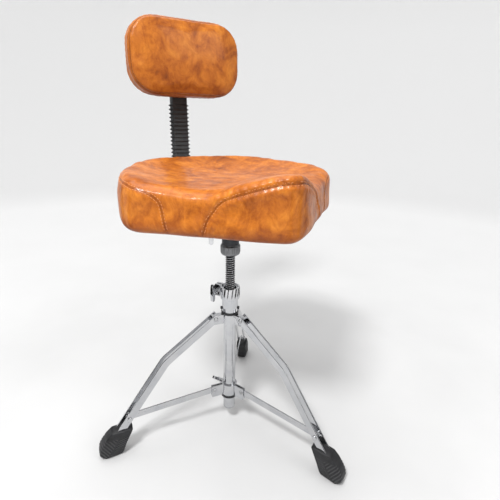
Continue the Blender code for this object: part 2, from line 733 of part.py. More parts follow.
# ---- seat bracket --------------------------------------------------------------------------
BOSS_R = 0.0165
BOSS_BOTTOM = GRIP_TOP + GAP
BRACKET_BOTTOM = BRACKET_TOP - BRACKET_THICK
SEAT_BOLT_AZ = 153.0
SEAT_BOLT_Z = 0.4445
SEAT_BOLT_STEM = 0.0170
BRACKET_BOLTS = [(sx * 0.042, sy * 0.042) for sx in (-1, 1) for sy in (-1, 1)]


def seat_bracket():
    half, tongue = 0.056, 0.031
    outline = [(-half, -half), (half, -half), (half, half), (tongue, half + 0.020),
               (tongue, RECEIVER_Y[1] + 0.003), (-tongue, RECEIVER_Y[1] + 0.003),
               (-tongue, half + 0.020), (-half, half)]
    holes = [circle(0.0033, 14, place) for place in BRACKET_BOLTS]
    made = plate("seat_bracket", outline, BRACKET_THICK, holes)
    turn_mesh(made, Matrix.Translation((0.0, 0.0, BRACKET_TOP - BRACKET_THICK / 2)))
    boss = turned("bracket_boss", ring(BOSS_R, SPINDLE_R + GAP, BRACKET_TOP - 0.001,
                                       BOSS_BOTTOM), SEGMENTS, CUTTERS)
    join(made, boss)
    bore = rod("bracket_bore", SPINDLE_R + GAP, 0.06, (0, 0, SPINDLE_TOP + GAP - 0.03),
               (0, 0, 1), SEGMENTS, CUTTERS)
    cut(made, bore)
    cut(made, rod("seat_bolt_hole", BOLT_R + GAP, 0.02, around(SEAT_BOLT_AZ, 0.015, SEAT_BOLT_Z),
                  direction(SEAT_BOLT_AZ), collection=CUTTERS))
    return finish(made, FRAME, BLACK_STEEL)


def bracket_bolts():
    for index, (x, y) in enumerate(BRACKET_BOLTS):
        profile = bolt_profile(0.0029, 0.013, 0.0060, 0.0030)
        finish(turned(f"bracket_bolt_{index + 1}", profile, SMALL_SEGMENTS), FRAME, STEEL,
               (x, y, BRACKET_BOTTOM - GAP), (180, 0, 0))


def seat_wing_bolt():
    foot = around(SEAT_BOLT_AZ, BOSS_R + GAP, SEAT_BOLT_Z)
    pivot = empty("seat_wing_axis", FRAME, foot)
    shank = BOSS_R - SPINDLE_R - GAP
    wing_bolt("seat_wing_bolt", pivot, shank, direction(SEAT_BOLT_AZ), 90.0,
              SEAT_BOLT_STEM)


def bar_receiver():
    inner = (BAR_WIDTH + 2 * GAP, BAR_THICK + 2 * GAP)
    outer = (inner[0] + 2 * RECEIVER_WALL, inner[1] + 2 * RECEIVER_WALL)
    made = plate("bar_receiver", rounded_rectangle(*outer, 0.0015, 1),
                 RECEIVER_Y[1] - RECEIVER_Y[0], [rounded_rectangle(*inner, 0.0004, 1)])
    stand_up(made)
    middle = (RECEIVER_Y[0] + RECEIVER_Y[1]) / 2
    turn_mesh(made, Matrix.Translation((0.0, middle, BAR_Z)))
    cut(made, rod("receiver_bolt_hole", BOLT_R + GAP, 0.008,
                  (0.0, middle, BAR_Z - outer[1] / 2), (0, 0, 1), collection=CUTTERS))
    finish(made, FRAME, BLACK_STEEL)
    foot = (0.0, middle, BAR_Z - outer[1] / 2 - GAP)
    pivot = empty("receiver_wing_axis", FRAME, foot)
    wing_bolt("receiver_wing_bolt", pivot, RECEIVER_WALL, (0, 0, -1), 25.0)


# ---- seat ----------------------------------------------------------------------------------
def seat_outline(count=SEAT_SIDES):
    """Points (x, y, lip height) round the seat, from the nose's tip over +X, clockwise."""
    half = [(x, -forward, lip) for x, forward, lip in SEAT_STATIONS]
    loop = half + [(-x, y, lip) for x, y, lip in reversed(half[1:-1])]
    return smooth_loop(loop, count)


def seat_rings(thin):
    """Rings of the seat's skin from the middle of the top down to the hem, thin inside it."""
    outline = inset_loop(seat_outline(), thin)
    rings = []
    rim = inset_loop(outline, LIP_ROUND - thin * 0.5)
    centre = Vector((0.0, 0.02))
    for share in (0.30, 0.58, 0.80, 0.93, 1.0):
        loop = []
        for point in rim:
            height = SEAT_DISH_Z + (point.z - SEAT_DISH_Z) * share ** 2.2
            x = centre.x + (point.x - centre.x) * share
            y = centre.y + (point.y - centre.y) * share
            loop.append(Vector((x, y, height - thin)))
        rings.append(loop)
    for angle in (35.0, 65.0, 90.0):
        turn = math.radians(angle)
        inset = (LIP_ROUND - thin * 0.5) * (1.0 - math.sin(turn))
        drop = LIP_ROUND * (1.0 - math.cos(turn))
        loop = inset_loop(outline, inset)
        rings.append([Vector((p.x, p.y, p.z - thin - drop)) for p in loop])
    rings.append([Vector((p.x, p.y, SEAT_BOTTOM + HEM_ROUND)) for p in outline])
    return rings, outline


def seat_cover():
    rings, outline = seat_rings(0.0)
    for angle in (40.0, 90.0):
        turn = math.radians(angle)
        loop = inset_loop(outline, HEM_ROUND * (1.0 - math.cos(turn)))
        height = SEAT_BOTTOM + HEM_ROUND * (1.0 - math.sin(turn))
        rings.append([Vector((p.x, p.y, height)) for p in loop])
    hem = inset_loop(outline, HEM_ROUND + HEM_WIDTH)
    rings.append([Vector((p.x, p.y, SEAT_BOTTOM)) for p in hem])
    made = mesh_object("seat_cover", lambda bm: skin(bm, rings, "point", None))
    shell = made.modifiers.new("Solidify", "SOLIDIFY")
    shell.thickness = COVER_THICK
    shell.offset = -1.0
    return finish(made, FRAME, LEATHER, crease=0)


def seat_foam():
    rings, outline = seat_rings(COVER_THICK + 0.0012)
    floor = SEAT_BOTTOM + COVER_THICK + GAP + BOARD_THICK + GAP
    rings[-1] = [Vector((p.x, p.y, floor)) for p in outline]
    made = mesh_object("seat_foam", lambda bm: skin(bm, rings, "point", "flat"))
    return finish(made, FRAME, FOAM, crease=0)


def seat_board():
    outline = inset_loop(seat_outline(), HEM_ROUND + 0.001)
    made = plate("seat_board", [(p.x, p.y) for p in outline], BOARD_THICK,
                 [circle(0.0033, 14, place) for place in BRACKET_BOLTS])
    low = SEAT_BOTTOM + COVER_THICK + GAP
    return finish(made, FRAME, PLYWOOD, (0.0, 0.0, low + BOARD_THICK / 2))


def dust_cover():
    outline = inset_loop(seat_outline(), HEM_ROUND + HEM_WIDTH + 0.001)
    end = RECEIVER_Y[1] + 0.005
    opening = [(-0.059, -0.059), (0.059, -0.059), (0.059, 0.080), (0.035, 0.082),
               (0.035, end), (-0.035, end), (-0.035, 0.082), (-0.059, 0.080)]
    made = plate("dust_cover", [(p.x, p.y) for p in outline], 0.0010, [opening])
    return finish(made, FRAME, LINING, (0.0, 0.0, SEAT_BOTTOM + COVER_THICK - GAP - 0.0005))


# ---- backrest --------------------------------------------------------------------------------
LEAN_FRAME = empty("backrest_lean", FRAME, (0.0, UPRIGHT_FOOT[0], UPRIGHT_FOOT[1]), (-LEAN, 0, 0))


def upright_point(along):
    turn = math.radians(LEAN)
    return (UPRIGHT_FOOT[0] + along * math.sin(turn), UPRIGHT_FOOT[1] + along * math.cos(turn))


def backrest_bar():
    down = (BAR_Z - UPRIGHT_FOOT[1]) / math.cos(math.radians(LEAN))
    path = [(BAR_INNER_END, BAR_Z), upright_point(down), upright_point(UPRIGHT_TOP)]
    made = side_on(plate("backrest_bar", bent_strip(path, BAR_THICK / 2, BAR_BEND_R), BAR_WIDTH))
    return finish(made, FRAME, BLACK_STEEL)


def bellows():
    """An accordion sleeve round the upright: flat faces, pointed pleats at both sides."""
    def build(bm):
        pitch = (BELLOWS_HIGH - BELLOWS_LOW - 0.026) / BELLOWS_TEETH
        levels = [(BELLOWS_LOW, 0.1, 0.0)]
        for tooth in range(BELLOWS_TEETH):
            base = BELLOWS_LOW + 0.006 + pitch * tooth
            levels += [(base, 0.1, -0.0008), (base + pitch * 0.5, 1.0, 0.0)]
        levels += [(BELLOWS_HIGH - 0.020, 0.1, 0.0), (BELLOWS_HIGH, 0.1, 0.0)]
        face, pleat = BELLOWS_FACE / 2, (BELLOWS_WIDTH - BELLOWS_FACE) / 2
        outer = []
        for height, reach, change in levels:
            tip, depth = face + pleat * reach, BELLOWS_DEPTH / 2 + change
            edge = 0.0012 if reach > 0.5 else depth - 0.0016
            outer.append([Vector((x, y, height)) for x, y in (
                (tip, edge), (face, depth), (-face, depth), (-tip, edge),
                (-tip, -edge), (-face, -depth), (face, -depth), (tip, -edge))])
        inner = [[Vector((x, y, height)) for x, y in
                  rounded_rectangle(BAR_WIDTH + 0.002, BAR_THICK + 0.002, 0.0008, 1)]
                 for height in (BELLOWS_HIGH, BELLOWS_LOW)]
        loops = outer + inner
        skin(bm, loops + [loops[0]], None, None)
        bmesh.ops.remove_doubles(bm, verts=bm.verts[:], dist=0.00001)
    return finish(mesh_object("bellows", build), LEAN_FRAME, RUBBER)


def pad_outline(width, height, corner):
    steps = PAD_SIDES // 4 - 1
    middle = (PAD_LOW + PAD_HIGH) / 2
    return [(x, middle + y) for x, y in rounded_rectangle(width, height, corner, steps)]


PAD_HEIGHT = PAD_HIGH - PAD_LOW
PAD_BRACKET_LOW = BELLOWS_HIGH + 0.0008
PAD_BRACKET_HIGH = PAD_BRACKET_LOW + 0.055
PAD_STUDS = [(side * 0.034, (PAD_BRACKET_LOW + PAD_BRACKET_HIGH) / 2) for side in (-1, 1)]


def pad_rings(thin, back, crown):
    """Rings from the middle of the pad's face out over its edge and back along its side."""
    loops = []
    face = PAD_FRONT + thin
    edge = 0.013 - thin * 0.5

    def ring_at(inset, depth):
        outline = pad_outline(PAD_WIDTH - 2 * (thin + inset), PAD_HEIGHT - 2 * (thin + inset),
                              max(PAD_CORNER - thin - inset, 0.004))
        return [Vector((x, depth, z)) for x, z in outline]

    loops.append(ring_at(0.055, face))
    loops.append(ring_at(0.030, face + crown * 0.35))
    for angle in (0.0, 35.0, 65.0, 90.0):
        turn = math.radians(angle)
        loops.append(ring_at(edge * (1.0 - math.sin(turn)),
                             face + crown + edge * (1.0 - math.cos(turn))))
    loops.append(ring_at(0.0, back))
    return loops, ring_at


PAD_CROWN = 0.005


def pad_cover():
    loops, ring_at = pad_rings(0.0, PAD_HEM - 0.003, PAD_CROWN)
    loops.append(ring_at(0.0012, PAD_HEM - 0.0012))
    loops.append(ring_at(0.005, PAD_HEM))
    loops.append(ring_at(0.016, PAD_HEM))
    made = mesh_object("pad_cover", lambda bm: skin(bm, loops, "point", None))
    shell = made.modifiers.new("Solidify", "SOLIDIFY")
    shell.thickness = COVER_THICK
    shell.offset = -1.0
    return finish(made, LEAN_FRAME, LEATHER, crease=0)


PAD_BOARD_BACK = PAD_HEM - COVER_THICK - GAP


def pad_foam():
    back = PAD_BOARD_BACK - PAD_BOARD_THICK - GAP
    loops, _ = pad_rings(COVER_THICK + 0.0006, back, PAD_CROWN)
    made = mesh_object("pad_foam", lambda bm: skin(bm, loops, "point", "flat"))
    return finish(made, LEAN_FRAME, FOAM, crease=0)


def pad_board():
    inset = 2 * (COVER_THICK + 0.004)
    outline = pad_outline(PAD_WIDTH - inset, PAD_HEIGHT - inset, PAD_CORNER - inset / 2)
    holes = [circle(0.0030, 12, place) for place in PAD_STUDS]
    made = stand_up(plate("pad_board", outline, PAD_BOARD_THICK, holes))
    middle = PAD_BOARD_BACK - PAD_BOARD_THICK / 2
    return finish(made, LEAN_FRAME, PLYWOOD, (0.0, middle, 0.0))


def pad_back_panel():
    outline = pad_outline(PAD_WIDTH - 0.014, PAD_HEIGHT - 0.014, PAD_CORNER - 0.007)
    holes = [circle(0.0030, 12, place) for place in PAD_STUDS]
    made = stand_up(plate("pad_back_panel", outline, PAD_PANEL_THICK, holes))
    return finish(made, LEAN_FRAME, PLASTIC, (0.0, PAD_HEM + GAP + PAD_PANEL_THICK / 2, 0.0))


def pad_bracket():
    half_x = BAR_WIDTH / 2 + GAP
    half_y = BAR_THICK / 2 + GAP
    wall = RECEIVER_WALL
    tube_x, tube_y = half_x + wall, half_y + wall
    plate_back = PAD_PLATE_FACE + wall
    outline = [(-0.048, PAD_PLATE_FACE), (0.048, PAD_PLATE_FACE), (0.048, plate_back),
               (tube_x, plate_back), (tube_x, tube_y), (-tube_x, tube_y),
               (-tube_x, plate_back), (-0.048, plate_back)]
    made = plate("pad_bracket", outline, PAD_BRACKET_HIGH - PAD_BRACKET_LOW,
                 [rounded_rectangle(2 * half_x, 2 * half_y, 0.0004, 1)])
    middle = (PAD_BRACKET_LOW + PAD_BRACKET_HIGH) / 2
    turn_mesh(made, Matrix.Translation((0.0, 0.0, middle)))
    for x, z in PAD_STUDS:
        stud = turned("pad_stud", bolt_profile(0.0026, 0.013, 0.0055, 0.0028), SMALL_SEGMENTS,
                      CUTTERS)
        stud.location = (x, plate_back - 0.0006, z)
        stud.rotation_euler = (math.radians(-90.0), 0.0, 0.0)
        join(made, stud)
    cut(made, rod("pad_bolt_hole", BOLT_R + GAP, 0.008, (0.0, tube_y, middle), (0, 1, 0),
                  collection=CUTTERS))
    finish(made, LEAN_FRAME, BLACK_STEEL)
    pivot = empty("pad_wing_axis", LEAN_FRAME, (0.0, tube_y + GAP, middle))
    wing_bolt("pad_wing_bolt", pivot, wall, (0, 1, 0), 90.0)


# ---- assembly --------------------------------------------------------------------------------
def stand_on_origin():
    """Move the frame so that the origin is under the middle of the object's box."""
    depsgraph = bpy.context.evaluated_depsgraph_get()
    low = Vector((math.inf, math.inf, math.inf))
    high = -low
    for made in PARTS.objects:
        if made.type != "MESH":
            continue
        shown = made.evaluated_get(depsgraph)
        for vert in shown.data.vertices:
            place = shown.matrix_world @ vert.co
            low = Vector(map(min, low, place))
            high = Vector(map(max, high, place))
    FRAME.location = (-(low.x + high.x) / 2, -(low.y + high.y) / 2, -low.z)


base_tube()
tube_end_plug()
upper_sleeve()
sleeve_screws()
spindle_nut()
hub_washer()
leg_hub()
clamp_collar()
clamp_bolt_and_nut()
legs()
brace_collar()
brace_ring()
brace_bolt()
stays()
guide_bush()
spindle()
grip_collar()
seat_bracket()
bracket_bolts()
seat_wing_bolt()
bar_receiver()
seat_cover()
seat_foam()
seat_board()
dust_cover()
backrest_bar()
bellows()
pad_cover()
pad_foam()
pad_board()
pad_back_panel()
pad_bracket()
stand_on_origin()
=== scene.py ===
"""Looks of the drum throne: leather saddle and backrest, chrome tripod, rubber boots and bellows.

Every length is in metres in the CAD's frame, where the sitter faces -Y. Plan positions of the
saddle are given from the post's axis: w is across (towards +X) and u is forward (towards -Y).
"""

import json
import math

import bmesh
import bpy
import numpy as np
from mathutils import Matrix, Vector
from mathutils.bvhtree import BVHTree
from mathutils.kdtree import KDTree


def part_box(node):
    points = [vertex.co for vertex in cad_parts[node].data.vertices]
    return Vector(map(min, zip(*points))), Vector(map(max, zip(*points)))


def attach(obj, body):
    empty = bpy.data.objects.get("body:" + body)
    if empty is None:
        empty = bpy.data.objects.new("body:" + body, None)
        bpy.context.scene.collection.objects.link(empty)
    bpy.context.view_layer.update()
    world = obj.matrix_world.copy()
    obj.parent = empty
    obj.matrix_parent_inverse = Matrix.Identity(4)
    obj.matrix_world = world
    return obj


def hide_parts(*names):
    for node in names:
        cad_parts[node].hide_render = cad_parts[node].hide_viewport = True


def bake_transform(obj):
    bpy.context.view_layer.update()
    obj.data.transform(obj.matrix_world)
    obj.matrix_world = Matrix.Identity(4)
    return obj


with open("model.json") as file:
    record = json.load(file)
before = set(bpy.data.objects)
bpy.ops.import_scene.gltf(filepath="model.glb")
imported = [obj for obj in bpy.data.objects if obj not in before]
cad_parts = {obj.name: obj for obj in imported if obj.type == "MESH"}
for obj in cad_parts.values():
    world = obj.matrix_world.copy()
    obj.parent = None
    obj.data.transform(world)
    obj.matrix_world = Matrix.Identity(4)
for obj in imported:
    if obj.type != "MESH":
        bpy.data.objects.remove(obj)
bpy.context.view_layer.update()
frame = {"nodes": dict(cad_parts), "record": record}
NODES = frame["nodes"]

low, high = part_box("base_tube")
POST = Vector(((low.x + high.x) / 2, (low.y + high.y) / 2, low.z - 0.0505))
FLOOR = POST.z                  # what every height below is raised by
LEG_AZIMUTHS = {"a": -65.5, "b": 54.5, "c": 174.5}
LEAN = math.radians(2.5)
UPRIGHT_FOOT = POST + Vector((0.0, 0.260, 0.575))


# ---- materials ---------------------------------------------------------------------------
class Look:
    """A procedural material: add() makes a node, wire() joins an output to an input."""

    def __init__(self, name, **settings):
        self.material = bpy.data.materials.new(name)
        self.material.use_nodes = True
        self.tree = self.material.node_tree
        self.shader = self.tree.nodes["Principled BSDF"]
        self.point = self.add("ShaderNodeTexCoord").outputs["Object"]
        for key, value in settings.items():
            self.shader.inputs[key.replace("_", " ")].default_value = value

    def add(self, kind, **settings):
        node = self.tree.nodes.new(kind)
        for key, value in settings.items():
            if key in node.inputs:
                node.inputs[key].default_value = value
            else:
                setattr(node, key, value)
        return node

    def wire(self, output, target):
        self.tree.links.new(output, target)

    def stretched(self, scale):
        node = self.add("ShaderNodeMapping", Scale=scale)
        self.wire(self.point, node.inputs["Vector"])
        return node.outputs["Vector"]

    def noise(self, scale, detail=4.0, roughness=0.55, distortion=0.0, point=None):
        node = self.add("ShaderNodeTexNoise", Scale=scale, Detail=detail, Roughness=roughness,
                        Distortion=distortion)
        self.wire(point or self.point, node.inputs["Vector"])
        return node.outputs["Fac"]

    def cells(self, scale, feature="F1", randomness=1.0, point=None):
        node = self.add("ShaderNodeTexVoronoi", feature=feature, Scale=scale,
                        Randomness=randomness)
        self.wire(point or self.point, node.inputs["Vector"])
        return node.outputs["Distance"]

    def ramp(self, value, stops):
        node = self.add("ShaderNodeValToRGB")
        band = node.color_ramp
        while len(band.elements) < len(stops):
            band.elements.new(0.5)
        for element, (place, color) in zip(band.elements, stops):
            element.position = place
            element.color = (*color, 1.0)
        self.wire(value, node.inputs["Fac"])
        return node.outputs["Color"]

    def span(self, value, low_out, high_out, low_in=0.3, high_in=0.7):
        node = self.add("ShaderNodeMapRange")
        node.inputs["From Min"].default_value = low_in
        node.inputs["From Max"].default_value = high_in
        node.inputs["To Min"].default_value = low_out
        node.inputs["To Max"].default_value = high_out
        self.wire(value, node.inputs["Value"])
        return node.outputs["Result"]

    def blend(self, share, first, second, mode="MIX"):
        node = self.add("ShaderNodeMix", data_type="RGBA", blend_type=mode)
        if isinstance(share, float):
            node.inputs[0].default_value = share
        else:
            self.wire(share, node.inputs[0])
        for socket, value in ((node.inputs[6], first), (node.inputs[7], second)):
            if isinstance(value, tuple):
                socket.default_value = (*value, 1.0)
            else:
                self.wire(value, socket)
        return node.outputs[2]

    def math(self, kind, first, second):
        node = self.add("ShaderNodeMath", operation=kind)
        for socket, value in zip(node.inputs, (first, second)):
            if isinstance(value, float):
                socket.default_value = value
            else:
                self.wire(value, socket)
        return node.outputs[0]

    def color(self, output):
        self.wire(output, self.shader.inputs["Base Color"])

    def rough(self, output):
        self.wire(output, self.shader.inputs["Roughness"])

    def bump(self, height, distance, strength=1.0):
        node = self.add("ShaderNodeBump", Distance=distance, Strength=strength)
        self.wire(height, node.inputs["Height"])
        self.wire(node.outputs["Normal"], self.shader.inputs["Normal"])


def leather(name, tone=1.0, hem=0.0):
    """Orange-brown imitation leather: cloudy wiped-on stains, pores, soft creases, and painted
    shade near the hem and in seam grooves.
    """
    look = Look(name, Coat_Weight=0.18, Coat_Roughness=0.14, Specular_IOR_Level=0.18)
    clouds = look.noise(27.0, 6.0, 0.66, 0.6)
    stains = [(0.28, (0.225, 0.052, 0.006)), (0.42, (0.405, 0.108, 0.010)),
              (0.54, (0.550, 0.165, 0.015)), (0.72, (0.690, 0.245, 0.028))]
    stains = [(place, tuple(part * tone for part in color)) for place, color in stains]
    base = look.ramp(clouds, stains)
    streaks = look.noise(62.0, 4.0, 0.7, 1.6, look.stretched((1.0, 1.0, 0.55)))
    flecks = look.ramp(streaks, [(0.34, (0.62, 0.50, 0.42)), (0.62, (1.0, 1.0, 1.0))])
    base = look.blend(0.68, base, flecks, "MULTIPLY")
    # Painted shade: the colour darkens over the 26 mm above the height hem, along the lower edge.
    parts = look.add("ShaderNodeSeparateXYZ")
    look.wire(look.point, parts.inputs[0])
    painted_hem_shade = look.span(parts.outputs["Z"], 0.62, 0.0, hem, hem + 0.026)
    base = look.blend(painted_hem_shade, base, (0.25 * tone, 0.052 * tone, 0.010))
    # Painted shade in the seam grooves, read from the attribute seam.
    seams = look.add("ShaderNodeAttribute", attribute_name="seam")
    base = look.blend(seams.outputs["Fac"], base, (0.20 * tone, 0.038, 0.008))
    look.color(base)
    look.rough(look.span(look.noise(44.0, 3.0), 0.33, 0.48))
    pores = look.cells(620.0)
    creases = look.noise(150.0, 5.0, 0.65, 0.4)
    rolls = look.noise(38.0, 2.0)
    height = look.math("ADD", look.math("MULTIPLY", pores, 0.30),
                       look.math("MULTIPLY", creases, 0.75))
    height = look.math("ADD", height, look.math("MULTIPLY", rolls, 1.2))
    look.bump(height, 0.0007, 0.55)
    return look.material


def chrome():
    look = Look("polished_chrome", Metallic=1.0)
    haze = look.noise(36.0, 4.0)
    look.color(look.ramp(haze, [(0.3, (0.50, 0.51, 0.53)), (0.7, (0.62, 0.62, 0.63))]))
    scratches = look.noise(420.0, 3.0, 0.6, 0.0, look.stretched((1.0, 1.0, 0.06)))
    look.rough(look.math("ADD", look.span(haze, 0.045, 0.085),
                         look.span(scratches, 0.0, 0.06, 0.5, 0.8)))
    look.bump(look.noise(55.0, 2.0), 0.00016, 0.25)
    return look.material


def satin_steel(name, dark, bright, low_rough, high_rough):
    look = Look(name, Metallic=1.0)
    grain = look.noise(300.0, 4.0, 0.6, 0.0, look.stretched((1.0, 1.0, 0.2)))
    wear = look.noise(40.0, 5.0, 0.6)
    look.color(look.blend(0.5, look.ramp(grain, [(0.3, dark), (0.7, bright)]),
                          look.ramp(wear, [(0.3, dark), (0.7, bright)])))
    look.rough(look.span(wear, low_rough, high_rough))
    look.bump(grain, 0.00012, 0.5)
    return look.material


def screw_steel():
    """Zinc-plated rolled thread, with its roots painted near-black as painted shade."""
    look = Look("spindle_steel", Metallic=1.0)
    wear = look.noise(90.0, 5.0, 0.6)
    bright = look.ramp(wear, [(0.3, (0.46, 0.47, 0.49)), (0.7, (0.62, 0.63, 0.64))])
    root = look.add("ShaderNodeAttribute", attribute_name="root").outputs["Fac"]
    # Painted shade: near-black where the attribute root marks the thread's roots.
    look.color(look.blend(root, bright, (0.020, 0.020, 0.022)))
    look.rough(look.span(wear, 0.20, 0.34))
    look.bump(wear, 0.00012, 0.5)
    return look.material


def black_paint():
    look = Look("black_powder_coat", Metallic=0.0, Coat_Weight=0.15, Coat_Roughness=0.3)
    wear = look.noise(55.0, 5.0, 0.6)
    look.color(look.ramp(wear, [(0.3, (0.010, 0.011, 0.016)), (0.7, (0.026, 0.028, 0.036))]))
    look.rough(look.span(wear, 0.34, 0.50))
    look.bump(look.cells(900.0), 0.00022, 0.5)
    return look.material


def rubber(name, dark, dusty, low_rough, high_rough, crest_pale):
    """Black rubber, paler where a mark called rib says the surface stands proud."""
    look = Look(name, Specular_IOR_Level=0.4)
    dust = look.noise(70.0, 5.0, 0.65)
    rib = look.add("ShaderNodeAttribute", attribute_name="rib").outputs["Fac"]
    look.color(look.blend(rib, look.ramp(dust, [(0.32, dark), (0.72, dusty)]), crest_pale))
    look.rough(look.span(dust, low_rough, high_rough))
    fine = look.noise(900.0, 3.0, 0.6)
    look.bump(fine, 0.00025, 0.5)
    return look.material


def black_plastic():
    look = Look("black_moulded_plastic")
    flow = look.noise(30.0, 4.0)
    look.color(look.ramp(flow, [(0.3, (0.012, 0.012, 0.014)), (0.7, (0.024, 0.024, 0.027))]))
    look.rough(look.span(flow, 0.38, 0.52))
    look.bump(look.cells(1100.0), 0.0002, 0.6)
    return look.material


def thread_cotton():
    look = Look("stitching_thread", Sheen_Weight=0.2)
    twist = look.noise(1500.0, 2.0)
    look.color(look.ramp(twist, [(0.3, (0.44, 0.14, 0.030)), (0.7, (0.68, 0.27, 0.07))]))
    look.rough(look.span(twist, 0.5, 0.7))
    look.bump(twist, 0.0002, 0.6)
    return look.material


def plywood():
    look = Look("seat_plywood")
    layers = look.noise(14.0, 6.0, 0.6, 1.2, look.stretched((1.0, 9.0, 60.0)))
    look.color(look.ramp(layers, [(0.3, (0.34, 0.20, 0.09)), (0.7, (0.60, 0.42, 0.22))]))
    look.rough(look.span(layers, 0.6, 0.8))
    look.bump(layers, 0.0004, 0.5)
    return look.material


def lining():
    look = Look("black_lining", Sheen_Weight=0.3)
    weave = look.cells(1300.0)
    fibres = look.noise(500.0, 4.0)
    look.color(look.ramp(fibres, [(0.3, (0.012, 0.012, 0.013)), (0.7, (0.034, 0.034, 0.036))]))
    look.rough(look.span(fibres, 0.75, 0.95))
    look.bump(weave, 0.0004, 0.7)
    return look.material


def foam():
    look = Look("seat_foam_block")
    bubbles = look.cells(700.0)
    look.color(look.ramp(bubbles, [(0.1, (0.48, 0.40, 0.18)), (0.6, (0.80, 0.72, 0.44))]))
    look.rough(look.span(bubbles, 0.8, 0.95, 0.0, 0.6))
    look.bump(bubbles, 0.0006, 0.7)
    return look.material


def nylon():
    look = Look("natural_nylon", Subsurface_Weight=0.05)
    flow = look.noise(120.0, 3.0)
    look.color(look.ramp(flow, [(0.3, (0.70, 0.67, 0.58)), (0.7, (0.82, 0.80, 0.72))]))
    look.rough(look.span(flow, 0.4, 0.55))
    look.bump(flow, 0.0002, 0.4)
    return look.material


LEATHER = leather("cognac_leather_skin", 0.92, POST.z + 0.485)
PAD_LEATHER = leather("cognac_leather_pad", 0.80, UPRIGHT_FOOT.z + 0.120)
# A darker copy of the leather: painted shade for the dark tubes sunk in the saddle's seams and for
# the pad's front welt.
PAINTED_SHADE_LEATHER = leather("cognac_leather_painted_shade", 0.55)
CHROME = chrome()
STEEL = satin_steel("satin_zinc_steel", (0.34, 0.35, 0.36), (0.62, 0.62, 0.63), 0.26, 0.42)
CAST = satin_steel("cast_grip_metal", (0.16, 0.165, 0.17), (0.34, 0.34, 0.35), 0.30, 0.48)
SCREW = screw_steel()
PAINT = black_paint()
BOOT_RUBBER = rubber("boot_rubber", (0.006, 0.006, 0.007), (0.022, 0.022, 0.024), 0.42, 0.62,
                     (0.060, 0.060, 0.062))
BELLOWS_RUBBER = rubber("bellows_rubber", (0.008, 0.008, 0.009), (0.030, 0.031, 0.033),
                        0.38, 0.58, (0.050, 0.050, 0.052))
PLASTIC = black_plastic()
COTTON = thread_cotton()

SLOT_LOOKS = {
    "chrome": CHROME, "satin_steel": STEEL, "black_steel": PAINT, "black_rubber": BOOT_RUBBER,
    "black_plastic": PLASTIC, "cognac_leather": LEATHER, "foam": foam(), "plywood": plywood(),
    "lining_cloth": lining(), "nylon": nylon(),
}


# ---- mesh helpers ------------------------------------------------------------------------
def piece(name, verts, faces, look, smooth=True):
    """A mesh object with one material."""
    data = bpy.data.meshes.new(name)
    data.from_pydata([tuple(map(float, vert)) for vert in verts], [], faces)
    data.validate()
    made = bpy.data.objects.new(name, data)
    bpy.context.scene.collection.objects.link(made)
    data.materials.append(look)
    if smooth:
        data.shade_smooth()
    return made


def ring_faces(rows, count, first_cap=None, last_cap=None, start=0):
    """Quads between rows of count points, and an n-gon at an end that is given."""
    faces = []
    for row in range(rows - 1):
        for index in range(count):
            following = (index + 1) % count
            a = start + row * count
            faces.append((a + index, a + count + index, a + count + following, a + following))
    if first_cap:
        faces.append(tuple(start + index for index in range(count)))
    if last_cap:
        base = start + (rows - 1) * count
        faces.append(tuple(base + index for index in reversed(range(count))))
    return faces


def face_out(made):
    bm = bmesh.new()
    bm.from_mesh(made.data)
    bmesh.ops.recalc_face_normals(bm, faces=bm.faces[:])
    bm.to_mesh(made.data)
    bm.free()
    return made


def lathe(name, profile, look, segments=48, place=(0.0, 0.0, 0.0), wobble=None):
    """Rows of (radius, height) about the post's axis; wobble(angle, radius) alters a radius."""
    angles = np.linspace(0.0, 2 * math.pi, segments, endpoint=False)
    verts = []
    for radius, height in profile:
        for angle in angles:
            r = wobble(angle, radius, height) if wobble else radius
            verts.append((POST.x + place[0] + r * math.cos(angle),
                          POST.y + place[1] + r * math.sin(angle), FLOOR + place[2] + height))
    faces = ring_faces(len(profile), segments, True, True)
    return face_out(piece(name, verts, faces, look))


def closed_curve(stations, count):
    """A closed Catmull-Rom curve through rows of numbers, at equal steps of plan length."""
    stations = np.array(stations, float)
    total = len(stations)
    fine = []
    for index in range(total):
        p0, p1, p2, p3 = (stations[(index + shift) % total] for shift in (-1, 0, 1, 2))
        for t in np.linspace(0.0, 1.0, 24, endpoint=False):
            fine.append(0.5 * (2 * p1 + (p2 - p0) * t + (2 * p0 - 5 * p1 + 4 * p2 - p3) * t ** 2
                               + (3 * p1 - 3 * p2 + p3 - p0) * t ** 3))
    fine = np.array(fine + [fine[0]])
    steps = np.linalg.norm(np.diff(fine[:, :2], axis=0), axis=1)
    length = np.concatenate([[0.0], np.cumsum(steps)])
    goals = np.linspace(0.0, length[-1], count, endpoint=False)
    return np.stack([np.interp(goals, length, fine[:, k]) for k in range(fine.shape[1])], 1)


def smoothed_loop(values, passes):
    for _ in range(passes):
        values = (np.roll(values, 1, 0) + 2 * values + np.roll(values, -1, 0)) / 4
    return values


def plan_normals(points):
    """Outward normals in plan of a closed loop that runs clockwise seen from above."""
    tangent = np.roll(points, -1, 0)[:, :2] - np.roll(points, 1, 0)[:, :2]
    normal = np.stack([tangent[:, 1], -tangent[:, 0]], 1)
    normal /= np.linalg.norm(normal, axis=1)[:, None]
    middle = points[:, :2].mean(0)
    if ((points[:, :2] - middle) * normal).sum() < 0:
        normal = -normal
    return normal


